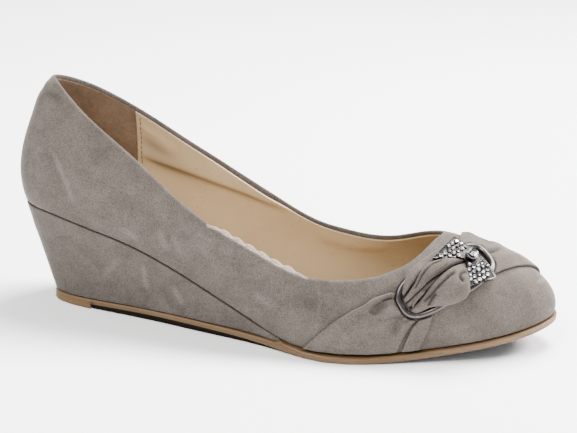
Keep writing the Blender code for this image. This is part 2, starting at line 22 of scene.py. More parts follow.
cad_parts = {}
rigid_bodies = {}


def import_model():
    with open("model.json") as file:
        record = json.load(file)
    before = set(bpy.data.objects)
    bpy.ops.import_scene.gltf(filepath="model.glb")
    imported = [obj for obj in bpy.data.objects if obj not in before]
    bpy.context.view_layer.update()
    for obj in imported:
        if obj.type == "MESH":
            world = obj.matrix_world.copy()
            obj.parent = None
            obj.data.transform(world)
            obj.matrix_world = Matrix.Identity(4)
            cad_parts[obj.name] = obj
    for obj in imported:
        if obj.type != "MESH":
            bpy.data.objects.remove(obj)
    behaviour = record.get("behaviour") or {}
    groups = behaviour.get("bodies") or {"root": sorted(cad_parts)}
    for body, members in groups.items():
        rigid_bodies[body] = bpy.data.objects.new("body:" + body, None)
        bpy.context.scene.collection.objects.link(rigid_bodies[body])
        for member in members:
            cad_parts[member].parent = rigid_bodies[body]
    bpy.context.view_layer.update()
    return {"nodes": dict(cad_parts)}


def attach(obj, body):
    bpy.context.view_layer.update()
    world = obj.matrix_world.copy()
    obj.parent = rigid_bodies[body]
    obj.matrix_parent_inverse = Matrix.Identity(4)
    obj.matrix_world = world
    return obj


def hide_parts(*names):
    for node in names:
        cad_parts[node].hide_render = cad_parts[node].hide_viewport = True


MM = 0.001
LOG = logging.getLogger("wedge_pump")
SEED = 7
LOOK_DOWN_FROM = 200 * MM
MERGE_REACH = 0.005 * MM
QUAD_BEND = math.radians(60)
QUAD_SKEW = math.radians(120)
GLINT_LEVELS = [0.0, 0.0, 0.06, 0.25, 0.9, 1.0, 1.0]

Colour = tuple[float, float, float]
Place = tuple[float, float, float]


class Pick(Enum):
    """What a selection in edit mode is made of."""

    VERTEX = "VERT"
    EDGE = "EDGE"
    FACE = "FACE"


class Crease(Enum):
    """How a stroke's height runs across its line."""

    SOFT = "soft"
    LAP = "lap"


class Keep(Enum):
    """Which part of the inner skin a lining piece covers."""

    REAR = "rear"
    FRONT = "front"


# Modelling helpers


def select_only(*bodies: bpy.types.Object) -> None:
    """Select these objects alone and make the first one active.

    Args:
        *bodies: The objects.
    """
    bpy.ops.object.select_all(action="DESELECT")
    for body in bodies:
        body.select_set(True)
    bpy.context.view_layer.objects.active = bodies[0]


def add_primitive(add: Callable[..., object], name: str, **settings: object) -> bpy.types.Object:
    """Add one of Blender's primitives with nothing else selected.

    Args:
        add: The operator that adds it.
        name: Name of the new object.
        **settings: The operator's own settings.

    Returns:
        The new object.
    """
    bpy.ops.object.select_all(action="DESELECT")
    add(**settings)
    body = bpy.context.active_object
    body.name = name
    return body


def joined_copies(first: bpy.types.Object, name: str, placings: Iterable[Matrix]) -> bpy.types.Object:
    """Put a copy of a small piece at each placing and join the copies.

    Args:
        first: The small piece, which is removed afterwards.
        name: Name of the new piece.
        placings: The turn and place of each copy.

    Returns:
        The joined object, with the places in its mesh.
    """
    copies = []
    for placing in placings:
        body = first.copy()
        body.data = first.data.copy()
        bpy.context.scene.collection.objects.link(body)
        body.data.transform(placing)
        copies.append(body)
    bpy.data.objects.remove(first)
    select_only(*copies)
    bpy.ops.object.join()
    body = bpy.context.active_object
    body.name = name
    return body


def apply_modifier(body: bpy.types.Object, kind: str, **settings: object) -> None:
    """Add a modifier to an object and apply it.

    Args:
        body: The object that is changed.
        kind: Blender's name of the modifier's type.
        **settings: Values of the modifier's own settings.
    """
    select_only(body)
    modifier = body.modifiers.new(kind.lower(), kind)
    for name, value in settings.items():
        setattr(modifier, name, value)
    bpy.ops.object.modifier_apply(modifier=modifier.name)


def refine(body: bpy.types.Object, levels: int) -> None:
    """Smooth and subdivide a mesh by a number of levels."""
    apply_modifier(body, "SUBSURF", levels=levels, render_levels=levels)


class Bench:
    """Edit mode on one object, where elements are selected by a test and then worked on."""

    def __init__(self, body: bpy.types.Object) -> None:
        """Keep the object that is worked on."""
        self.body = body

    def __enter__(self) -> "Bench":
        """Enter edit mode.

        Returns:
            The bench itself.
        """
        select_only(self.body)
        bpy.ops.object.mode_set(mode="EDIT")
        return self

    def __exit__(self, *_: object) -> None:
        """Leave edit mode."""
        bpy.ops.object.mode_set(mode="OBJECT")

    def all(self) -> None:
        """Select the whole mesh."""
        bpy.ops.mesh.select_all(action="SELECT")

    def select(self, kind: Pick, test: Callable[[object], bool]) -> None:
        """Select the elements of one kind that pass a test, and nothing else.

        Args:
            kind: The kind of element.
            test: Whether an element is selected.
        """
        bpy.ops.mesh.select_mode(type=kind.value)
        bpy.ops.mesh.select_all(action="DESELECT")
        mesh = bmesh.from_edit_mesh(self.body.data)
        found = {Pick.VERTEX: mesh.verts, Pick.EDGE: mesh.edges, Pick.FACE: mesh.faces}[kind]
        for item in found:
            if test(item):
                item.select_set(True)
        mesh.select_flush(True)
        bmesh.update_edit_mesh(self.body.data)


def sharp_edge(degrees: float) -> Callable[[bmesh.types.BMEdge], bool]:
    """A test for edges whose faces meet at more than an angle."""
    limit = math.radians(degrees)
    return lambda edge: edge.calc_face_angle(0) > limit


def bevel_rims(body: bpy.types.Object, degrees: float, offset: float, segments: int = 2) -> None:
    """Bevel the edges whose faces meet at more than an angle.

    Args:
        body: The object.
        degrees: The angle.
        offset: Width of the bevel on either side of the edge.
        segments: Number of faces across the bevel.
    """
    with Bench(body) as bench:
        bench.select(Pick.EDGE, sharp_edge(degrees))
        bpy.ops.mesh.bevel(offset=offset, segments=segments, affect="EDGES")


def round_edges(body: bpy.types.Object, degrees: float, width: float) -> None:
    """Round the edges that turn by more than an angle with a Bevel modifier.

    Args:
        body: The object.
        degrees: The angle.
        width: Width of the bevel.
    """
    apply_modifier(body, "BEVEL", width=width, segments=2, limit_method="ANGLE",
                   angle_limit=math.radians(degrees))


def copy_of_node(node: bpy.types.Object, name: str) -> bpy.types.Object:
    """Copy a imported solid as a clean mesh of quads.

    Args:
        node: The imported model's node, which stays as it is.
        name: Name of the new piece.

    Returns:
        The new object, with its doubles merged.
    """
    body = bpy.data.objects.new(name, node.data.copy())
    bpy.context.scene.collection.objects.link(body)
    body.data.materials.clear()
    with Bench(body) as bench:
        bench.all()
        bpy.ops.mesh.remove_doubles(threshold=MERGE_REACH)
        bpy.ops.mesh.tris_convert_to_quads(face_threshold=QUAD_BEND, shape_threshold=QUAD_SKEW)
        bpy.ops.mesh.customdata_custom_splitnormals_clear()
    return body


def read_vectors(items: bpy.types.bpy_prop_collection, name: str) -> np.ndarray:
    """Read one vector property of all items into a table.

    Args:
        items: A mesh's vertices or vertex normals.
        name: The property's name.

    Returns:
        A table with a row for each item.
    """
    table = np.empty(len(items) * 3, np.float32)
    items.foreach_get(name, table)
    return table.reshape(-1, 3).astype(float)


def move_vertices(body: bpy.types.Object, places: np.ndarray) -> None:
    """Put every vertex of a mesh at its new place."""
    body.data.vertices.foreach_set("co", places.astype(np.float32).ravel())
    body.data.update()


def smooth_rows(rows: Sequence[Sequence[float]], share: float) -> np.ndarray:
    """Read the smooth curve through table rows at a share of its run.

    Args:
        rows: The rows that the curve passes through.
        share: How far along the curve, from 0 to 1.

    Returns:
        The row there.
    """
    table = np.asarray(rows, float)
    reach = len(table) - 1
    step = min(int(share * reach), reach - 1)
    part = share * reach - step
    before, first, second, after = (table[min(max(k, 0), reach)] for k in range(step - 1, step + 3))
    return 0.5 * (2 * first + (second - before) * part
                  + (2 * before - 5 * first + 4 * second - after) * part ** 2
                  + (3 * first - before - 3 * second + after) * part ** 3)


def ease(value: np.ndarray) -> np.ndarray:
    """A soft step from 0 to 1 for values from 0 to 1."""
    held = np.clip(value, 0, 1)
    return held * held * (3 - 2 * held)


@dataclass(frozen=True)
class Stroke:
    """A crease, fold or scuff along a line on a surface, with sizes in millimetres.

    A lap is raised on the left of its line, seen from outside, and drops on the right. The fourth
    field is how much the stroke lightens the surface, for wear or a painted highlight, or darkens it
    with painted shade when below zero.
    """

    line: tuple[Place, ...]
    half_width: float
    height: float
    wear_and_painted_light: float = 0.0
    crease: Crease = Crease.SOFT
    fade: float = 0.3


@dataclass
class Relief:
    """Creases and folds put into a finished mesh by moving its vertices along their normals."""

    body: bpy.types.Object
    steps: int = 7
    lap_drop: float = 0.22
    reach: float = 3.0

    def __post_init__(self) -> None:
        """Read the mesh."""
        mesh = self.body.data
        self.points = read_vectors(mesh.vertices, "co")
        self.normals = read_vectors(mesh.vertex_normals, "vector")
        faces = [tuple(face.vertices) for face in mesh.polygons]
        self.tree = BVHTree.FromPolygons([Vector(point) for point in self.points], faces)
        self.shift = np.zeros(len(self.points))
        self.wear_and_painted_light = np.zeros(len(self.points))

    def trace(self, line: tuple[Place, ...]) -> tuple[np.ndarray, np.ndarray]:
        """Lay a stroke's line on the surface.

        Args:
            line: Places along the line, in millimetres.

        Returns:
            Points at short steps on the surface, and the surface's normals there.
        """
        count = (len(line) - 1) * self.steps + 1
        seated = [self.tree.find_nearest(Vector(smooth_rows(line, k / (count - 1))) * MM)
                  for k in range(count)]
        return np.array([place for place, *_ in seated]), np.array([up for _, up, *_ in seated])

    def stroke(self, stroke: Stroke) -> None:
        """Add one stroke to the shifts and to the wear, painted highlight and painted shade.

        Args:
            stroke: The crease, fold or scuff.
        """
        places, ups = self.trace(stroke.line)
        reach = self.reach * stroke.half_width * MM
        near = np.all((self.points > places.min(0) - reach) & (self.points < places.max(0) + reach), 1)
        points = self.points[near]
        if not len(points):
            return
        away = np.full(len(points), np.inf)
        travel = np.zeros(len(points))
        side = np.zeros(len(points))
        facing = np.zeros(len(points))
        for k, (start, end, up) in enumerate(zip(places[:-1], places[1:], ups[:-1])):
            run = end - start
            part = np.clip((points - start) @ run / max(run @ run, 1e-12), 0, 1)
            offset = points - start - part[:, None] * run
            distance = np.linalg.norm(offset, axis=1)
            closer = distance < away
            away = np.where(closer, distance, away)
            travel = np.where(closer, (k + part) / (len(places) - 1), travel)
            side = np.where(closer, offset @ np.cross(run, up), side)
            facing = np.where(closer, self.normals[near] @ up, facing)
        width = np.full(len(points), stroke.half_width * MM)
        if stroke.crease is Crease.LAP:
            width = np.where(side > 0, width * self.lap_drop, width)
        ends = ease(np.minimum(travel, 1 - travel) / max(stroke.fade, 1e-6))
        weight = np.exp(-(away / width) ** 2) * ends * np.clip(facing, 0, 1)
        self.shift[near] += weight * stroke.height * MM
        self.wear_and_painted_light[near] += weight * stroke.wear_and_painted_light

    def carve(self, strokes: Iterable[Stroke]) -> None:
        """Put all strokes into the mesh, and keep their wear, painted highlight and painted shade as a vertex
        attribute.

        Args:
            strokes: The creases, folds and scuffs.
        """
        for stroke in strokes:
            self.stroke(stroke)
        move_vertices(self.body, self.points + self.normals * self.shift[:, None])
        attribute = self.body.data.attributes.new("wear_and_painted_light", "FLOAT", "POINT")
        attribute.data.foreach_set("value", self.wear_and_painted_light.astype(np.float32))


class Seat:
    """A fixed surface on which pieces are put down."""

    def __init__(self, body: bpy.types.Object) -> None:
        """Read the object's mesh."""
        points = [vertex.co.copy() for vertex in body.data.vertices]
        self.tree = BVHTree.FromPolygons(points, [tuple(face.vertices) for face in body.data.polygons])

    def along(self, start: Vector, way: Vector) -> tuple[Vector, Vector] | None:
        """Follow a ray to the surface.

        Args:
            start: Where the ray starts.
            way: The ray's direction.

        Returns:
            The first place that it meets and the normal there, or None.
        """
        place, normal, *_ = self.tree.ray_cast(start, way)
        return None if place is None else (place, normal)


def bent_tube(name: str, rows: Sequence[Sequence[float]], sides: int, length_cells: int,
              place: Callable[[np.ndarray, float, float], Vector]) -> bpy.types.Object:
    """Model a closed tube whose sections follow a table.

    Args:
        name: Name of the new piece.
        rows: Table with one row for each station; place knows its columns.
        sides: Number of vertices around the tube.
        length_cells: Number of cells along the tube.
        place: Gives a vertex's place from the row there and its cosine and sine around the section.

    Returns:
        The new object.
    """
    body = add_primitive(bpy.ops.mesh.primitive_cylinder_add, name, vertices=sides, radius=1, depth=1)
    with Bench(body) as bench:
        for k in range(1, length_cells):
            bench.all()
            bpy.ops.mesh.bisect(plane_co=(0, 0, k / length_cells - 0.5), plane_no=(0, 0, 1))
    for vertex in body.data.vertices:
        across, up, along = vertex.co
        vertex.co = place(smooth_rows(rows, min(max(along + 0.5, 0), 1)), across, up)
    with Bench(body) as bench:
        bench.all()
        bpy.ops.mesh.normals_make_consistent(inside=False)
    return body


def hand_over(body: bpy.types.Object, material: bpy.types.Material,
              nodes: Sequence[str] = (), smooth_degrees: float = 50) -> bpy.types.Object:
    """Finish a piece.

    Args:
        body: The piece.
        material: Its material, unless it has its own already.
        nodes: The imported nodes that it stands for.
        smooth_degrees: Edges that turn by more stay sharp.

    Returns:
        The piece.
    """
    select_only(body)
    bpy.ops.object.shade_smooth_by_angle(angle=math.radians(smooth_degrees))
    if not body.data.materials:
        body.data.materials.append(material)
    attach(body, "root")
    if nodes:
        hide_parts(*nodes)
    body.data.calc_loop_triangles()
    LOG.info("%s: %d triangles", body.name, len(body.data.loop_triangles))
    return body


# Finishes


class Paint:
    """A material's node tree, with short calls that add nodes and join them."""

    def __init__(self, name: str) -> None:
        """Make the material with its Principled shader.

        Args:
            name: Name of the material.
        """
        self.material = bpy.data.materials.new(name)
        self.material.use_nodes = True
        self.tree = self.material.node_tree
        self.surface = self.tree.nodes["Principled BSDF"]
        self.where = self.tree.nodes.new("ShaderNodeTexCoord").outputs["Object"]

    def feed(self, target: bpy.types.NodeSocket, value: object) -> None:
        """Join a socket to a target, or set the target's value.

        Args:
            target: The socket that is fed.
            value: Another socket, a colour or a number.
        """
        if isinstance(value, bpy.types.NodeSocket):
            self.tree.links.new(value, target)
        elif isinstance(value, tuple):
            target.default_value = (*value, 1)
        else:
            target.default_value = value

    def stretched(self, scale: Place) -> bpy.types.NodeSocket:
        """Scale the object coordinates by axis.

        Args:
            scale: The scale along each axis.

        Returns:
            The scaled coordinates.
        """
        node = self.tree.nodes.new("ShaderNodeMapping")
        node.inputs["Scale"].default_value = scale
        self.feed(node.inputs["Vector"], self.where)
        return node.outputs["Vector"]

    def noise(self, scale: float, detail: float = 3, roughness: float = 0.55,
              where: bpy.types.NodeSocket | None = None) -> bpy.types.NodeSocket:
        """Make soft noise.

        Args:
            scale: Features in a metre.
            detail: Finer layers of it.
            roughness: Strength of the finer layers.
            where: Coordinates other than the object's.

        Returns:
            The noise, from 0 to 1.
        """
        node = self.tree.nodes.new("ShaderNodeTexNoise")
        node.inputs["Scale"].default_value = scale
        node.inputs["Detail"].default_value = detail
        node.inputs["Roughness"].default_value = roughness
        self.feed(node.inputs["Vector"], where or self.where)
        return node.outputs["Fac"]

    def spots(self, scale: float, where: bpy.types.NodeSocket | None = None) -> bpy.types.NodeSocket:
        """Scatter points through the piece.

        Args:
            scale: Points in a metre.
            where: Coordinates other than the object's.

        Returns:
            The distance to the nearest point.
        """
        node = self.tree.nodes.new("ShaderNodeTexVoronoi")
        node.inputs["Scale"].default_value = scale
        self.feed(node.inputs["Vector"], where or self.where)
        return node.outputs["Distance"]

    def remap(self, value: bpy.types.NodeSocket, low: float, high: float,
              to_low: float = 0.0, to_high: float = 1.0) -> bpy.types.NodeSocket:
        """Map a range of values to another, held at its ends.

        Args:
            value: The value.
            low: Start of its range.
            high: End of its range.
            to_low: What the start becomes.
            to_high: What the end becomes.

        Returns:
            The mapped value.
        """
        node = self.tree.nodes.new("ShaderNodeMapRange")
        ends = {"From Min": low, "From Max": high, "To Min": to_low, "To Max": to_high}
        for name, number in ends.items():
            node.inputs[name].default_value = number
        self.feed(node.inputs["Value"], value)
        return node.outputs["Result"]

    def blend(self, factor: object, first: object, second: object, mode: str = "MIX") -> bpy.types.NodeSocket:
        """Mix two colours.

        Args:
            factor: Share of the second colour.
            first: The first colour.
            second: The second colour.
            mode: How they mix.

        Returns:
            The mixed colour.
        """
        node = self.tree.nodes.new("ShaderNodeMix")
        node.data_type = "RGBA"
        node.blend_type = mode
        self.feed(node.inputs[0], factor)
        self.feed(node.inputs[6], first)
        self.feed(node.inputs[7], second)
        return node.outputs[2]

    def reckon(self, operation: str, first: object, second: object) -> bpy.types.NodeSocket:
        """Combine two values.

        Args:
            operation: Name of the operation.
            first: The first value.
            second: The second value.

        Returns:
            The result.
        """
        node = self.tree.nodes.new("ShaderNodeMath")
        node.operation = operation
        self.feed(node.inputs[0], first)
        self.feed(node.inputs[1], second)
        return node.outputs[0]

    def attribute(self, name: str) -> bpy.types.NodeSocket:
        """Read one of the mesh's own attributes.

        Args:
            name: The attribute's name.

        Returns:
            Its value.
        """
        node = self.tree.nodes.new("ShaderNodeAttribute")
        node.attribute_name = name
        return node.outputs["Fac"]

    def bump(self, height: bpy.types.NodeSocket, distance: float, strength: float = 1.0,
             under: bpy.types.NodeSocket | None = None) -> bpy.types.NodeSocket:
        """Turn heights into a surface normal.

        Args:
            height: The heights.
            distance: What a height of 1 is, in metres.
            strength: Share of the effect.
            under: Another normal that it lies over.

        Returns:
            The normal.
        """
        node = self.tree.nodes.new("ShaderNodeBump")
        node.inputs["Strength"].default_value = strength
        node.inputs["Distance"].default_value = distance
        self.feed(node.inputs["Height"], height)
        if under:
            self.feed(node.inputs["Normal"], under)
        return node.outputs["Normal"]

    def coat(self, **sockets: object) -> bpy.types.Material:
        """Set or join the shader's sockets.

        Args:
            **sockets: Values by the sockets' names, with underscores.

        Returns:
            The finished material.
        """
        for name, value in sockets.items():
            self.feed(self.surface.inputs[name.replace("_", " ").title().replace("Ior", "IOR")], value)
        return self.material


@dataclass(frozen=True)
class Nubuck:
    """Taupe nubuck: short pile, cloudy patches, paler creases and rubs, painted highlights and shade."""

    name: str = "taupe_nubuck"
    shade: Colour = (0.052, 0.0450, 0.0390)
    ground: Colour = (0.073, 0.0625, 0.0535)
    # Pale patches and rubs, and painted highlights
    pale_and_highlight: Colour = (0.150, 0.131, 0.117)
    # Painted shade in creases, hollows, slits and tucks
    painted_shade: Colour = (0.010, 0.008, 0.007)
    wrinkles: float = 0.25

    def material(self) -> bpy.types.Material:
        """Make the material.

        Returns:
            The material.
        """
        paint = Paint(self.name)
        clouds = paint.remap(paint.noise(30, detail=4, roughness=0.6), 0.36, 0.66)
        patches = paint.remap(paint.noise(110, detail=3, roughness=0.6), 0.38, 0.66)
        brushed = paint.noise(330, detail=3, roughness=0.65, where=paint.stretched((0.7, 1, 1.2)))
        grain = paint.noise(2100, detail=2, roughness=0.8)
        tone = paint.blend(paint.reckon("MULTIPLY", clouds, 0.6), self.ground, self.shade)
        tone = paint.blend(paint.reckon("MULTIPLY", patches, 0.19), tone, self.pale_and_highlight)
        tone = paint.blend(paint.remap(brushed, 0.45, 0.72, 0, 0.08), tone, self.pale_and_highlight)
        lines = paint.noise(34, detail=1, roughness=0.4, where=paint.stretched((1.3, 1, 0.6)))
        wrinkle = paint.reckon("ABSOLUTE", paint.reckon("SUBTRACT", lines, 0.5), 0)
        wrinkle = paint.reckon("MULTIPLY", paint.remap(wrinkle, 0.0, 0.022, 1, 0),
                               paint.remap(paint.noise(26, detail=1), 0.52, 0.66))
        tone = paint.blend(paint.reckon("MULTIPLY", wrinkle, self.wrinkles), tone, self.pale_and_highlight)
        # Paler wear and painted highlights where the vertex attribute is above zero, painted shade below zero
        wear_and_painted_light = paint.attribute("wear_and_painted_light")
        tone = paint.blend(paint.remap(wear_and_painted_light, 0, 1, 0, 0.8), tone, self.pale_and_highlight)
        tone = paint.blend(paint.remap(wear_and_painted_light, 0, -1, 0, 0.9), tone, self.painted_shade)
        tone = paint.blend(1.0, tone, paint.remap(grain, 0.34, 0.66, 0.60, 1.40), "MULTIPLY")
        fibre = paint.bump(paint.noise(2600, detail=2, roughness=0.7), 0.12 * MM, 0.5)
        fibre = paint.bump(grain, 0.3 * MM, 0.35, fibre)
        fibre = paint.bump(wrinkle, 0.5 * MM, 0.35, fibre)
        return paint.coat(base_color=tone, roughness=0.95, specular_ior_level=0.12, sheen_weight=0.30,
                          sheen_roughness=0.27, sheen_tint=(1.0, 0.88, 0.86), normal=fibre)


@dataclass(frozen=True)
class LiningLeather:
    """Smooth beige lining with fine pores in loose groups and soft creases."""

    name: str = "beige_lining"
    ground: Colour = (0.362, 0.270, 0.162)
    shade: Colour = (0.298, 0.212, 0.118)
    pore: Colour = (0.150, 0.096, 0.055)
    # Colour of the painted shade in creases and under the padded band
    fold: Colour = (0.088, 0.060, 0.036)
    pores: float = 520.0

    def material(self) -> bpy.types.Material:
        """Make the material.

        Returns:
            The material.
        """
        paint = Paint(self.name)
        clouds = paint.remap(paint.noise(45, detail=3, roughness=0.55), 0.35, 0.7)
        tone = paint.blend(paint.reckon("MULTIPLY", clouds, 0.45), self.ground, self.shade)
        groups = paint.remap(paint.noise(70, detail=2), 0.46, 0.60)
        pore = paint.reckon("MULTIPLY", paint.remap(paint.spots(self.pores), 0.10, 0.22, 1, 0), groups)
        tone = paint.blend(paint.reckon("MULTIPLY", pore, 0.65), tone, self.pore)
        # Painted shade where the vertex attribute is below zero
        wear_and_painted_light = paint.attribute("wear_and_painted_light")
        tone = paint.blend(paint.remap(wear_and_painted_light, 0, -1, 0, 0.75), tone, self.fold)
        grain = paint.bump(paint.noise(900, detail=3, roughness=0.6), 0.1 * MM, 0.35)
        grain = paint.bump(paint.reckon("MULTIPLY", pore, -1), 0.15 * MM, 0.6, grain)
        rough = paint.remap(paint.noise(160, detail=2), 0.3, 0.7, 0.48, 0.62)
        return paint.coat(base_color=tone, roughness=rough, specular_ior_level=0.35, normal=grain)


@dataclass(frozen=True)
class GripSuede:
    """Darker suede of the heel grip."""

    name: str = "heel_grip_suede"
    ground: Colour = (0.150, 0.096, 0.055)
    shade: Colour = (0.058, 0.035, 0.018)

    def material(self) -> bpy.types.Material:
        """Make the material.

        Returns:
            The material.
        """
        paint = Paint(self.name)
        clouds = paint.remap(paint.noise(70, detail=4, roughness=0.7), 0.38, 0.62)
        fibre = paint.noise(1300, detail=3, roughness=0.7)
        tone = paint.blend(paint.reckon("MULTIPLY", clouds, 0.6), self.ground, self.shade)
        tone = paint.blend(paint.remap(fibre, 0.4, 0.65, 0, 0.5), tone, self.shade)
        return paint.coat(base_color=tone, roughness=0.95, specular_ior_level=0.15, sheen_weight=0.3,
                          sheen_roughness=0.5, normal=paint.bump(fibre, 0.25 * MM, 0.7))


@dataclass(frozen=True)
class SoleRubber:
    """Moulded sole: tan wall with faint streaks along it, or the darker underside."""

    name: str
    ground: Colour
    shade: Colour
    roughness: float
    gloss: float = 0.4
    streaks: float = 60.0

    def material(self) -> bpy.types.Material:
        """Make the material.

        Returns:
            The material.
        """
        paint = Paint(self.name)
        along = paint.noise(self.streaks, detail=3, roughness=0.6, where=paint.stretched((0.5, 0.5, 12)))
        tone = paint.blend(paint.remap(along, 0.35, 0.7), self.ground, self.shade)
        scuffs = paint.remap(paint.noise(700, detail=3, roughness=0.7), 0.6, 0.75, 0, 0.3)
        tone = paint.blend(scuffs, tone, self.shade)
        grain = paint.bump(paint.noise(1400, detail=2), 0.06 * MM, 0.4)
        return paint.coat(base_color=tone, roughness=self.roughness, specular_ior_level=self.gloss,
                          normal=grain)


@dataclass(frozen=True)
class Plating:
    """Polished plated metal with fine wear."""

    name: str
    ground: Colour
    worn: Colour
    roughness: float

    def material(self) -> bpy.types.Material:
        """Make the material.

        Returns:
            The material.
        """
        paint = Paint(self.name)
        wear = paint.noise(700, detail=3, roughness=0.6)
        tone = paint.blend(paint.remap(wear, 0.56, 0.72), self.ground, self.worn)
        rough = paint.remap(paint.noise(420, detail=3), 0.3, 0.7, self.roughness, self.roughness + 0.10)
        dents = paint.bump(paint.noise(500, detail=2), 0.05 * MM, 0.25)
        return paint.coat(base_color=tone, metallic=1.0, roughness=rough, normal=dents)


@dataclass(frozen=True)
class Crystal:
    """Foiled crystal, with a painted glint on every facet: each facet's colour runs from dark to bright."""

    name: str = "foiled_crystal"
    dark: Colour = (0.020, 0.021, 0.024)
    bright: Colour = (0.900, 0.910, 0.930)

    def material(self) -> bpy.types.Material:
        """Make the material.

        Returns:
            The material.
        """
        paint = Paint(self.name)
        glint = paint.attribute("glint")
        haze = paint.remap(paint.noise(500, detail=1), 0.3, 0.7, -0.10, 0.10)
        # Painted glints: a dark or bright base colour for each facet, from its glint value
        tone = paint.blend(paint.reckon("ADD", glint, haze), self.dark, self.bright)
        return paint.coat(base_color=tone, metallic=0.75, roughness=0.07, coat_weight=1.0,
                          coat_roughness=0.02)


@dataclass(frozen=True)
class Thread:
    """Waxed sewing thread."""

    name: str = "brown_thread"
    ground: Colour = (0.105, 0.066, 0.036)
    shade: Colour = (0.055, 0.034, 0.018)

    def material(self) -> bpy.types.Material:
        """Make the material.

        Returns:
            The material.
        """
        paint = Paint(self.name)
        twist = paint.noise(3000, detail=2)
        tone = paint.blend(paint.remap(twist, 0.4, 0.6), self.ground, self.shade)
        return paint.coat(base_color=tone, roughness=0.7, normal=paint.bump(twist, 0.1 * MM, 0.5))


@dataclass(frozen=True)
class Backdrop:
    """Plain pale floor."""

    name: str = "pale_floor"
    ground: Colour = (0.97, 0.97, 0.97)
    shade: Colour = (0.95, 0.95, 0.95)

    def material(self) -> bpy.types.Material:
        """Make the material.

        Returns:
            The material.
        """
        paint = Paint(self.name)
        tone = paint.blend(paint.noise(3, detail=2), self.ground, self.shade)
        return paint.coat(base_color=tone, roughness=0.9, specular_ior_level=0.1)


class Finishes:
    """The finishes of the whole shoe, each made once."""

    def __init__(self) -> None:
        """Make every material."""
        self.nubuck = Nubuck().material()
        self.pinked = Nubuck("pinked_cloth", (0.195, 0.152, 0.128), (0.255, 0.202, 0.172),
                             (0.34, 0.28, 0.245), wrinkles=0.0).material()
        self.insole = LiningLeather("insole_leather", pores=330.0).material()
        self.lining = LiningLeather().material()
        self.grip = GripSuede().material()
        self.sole = SoleRubber("tan_sole", (0.112, 0.062, 0.0225), (0.074, 0.038, 0.0125),
                               roughness=0.5).material()
        self.underside = SoleRubber("sole_underside", (0.013, 0.0100, 0.0070), (0.007, 0.0055, 0.004),
                                    roughness=0.9, gloss=0.03, streaks=40).material()
        self.gunmetal = Plating("gunmetal", (0.064, 0.057, 0.056), (0.115, 0.104, 0.103),
                                roughness=0.26).material()
        self.silver = Plating("silver_plate", (0.125, 0.120, 0.120), (0.30, 0.29, 0.29),
                              roughness=0.2).material()
        self.crystal = Crystal().material()
        self.thread = Thread().material()
        self.floor = Backdrop().material()


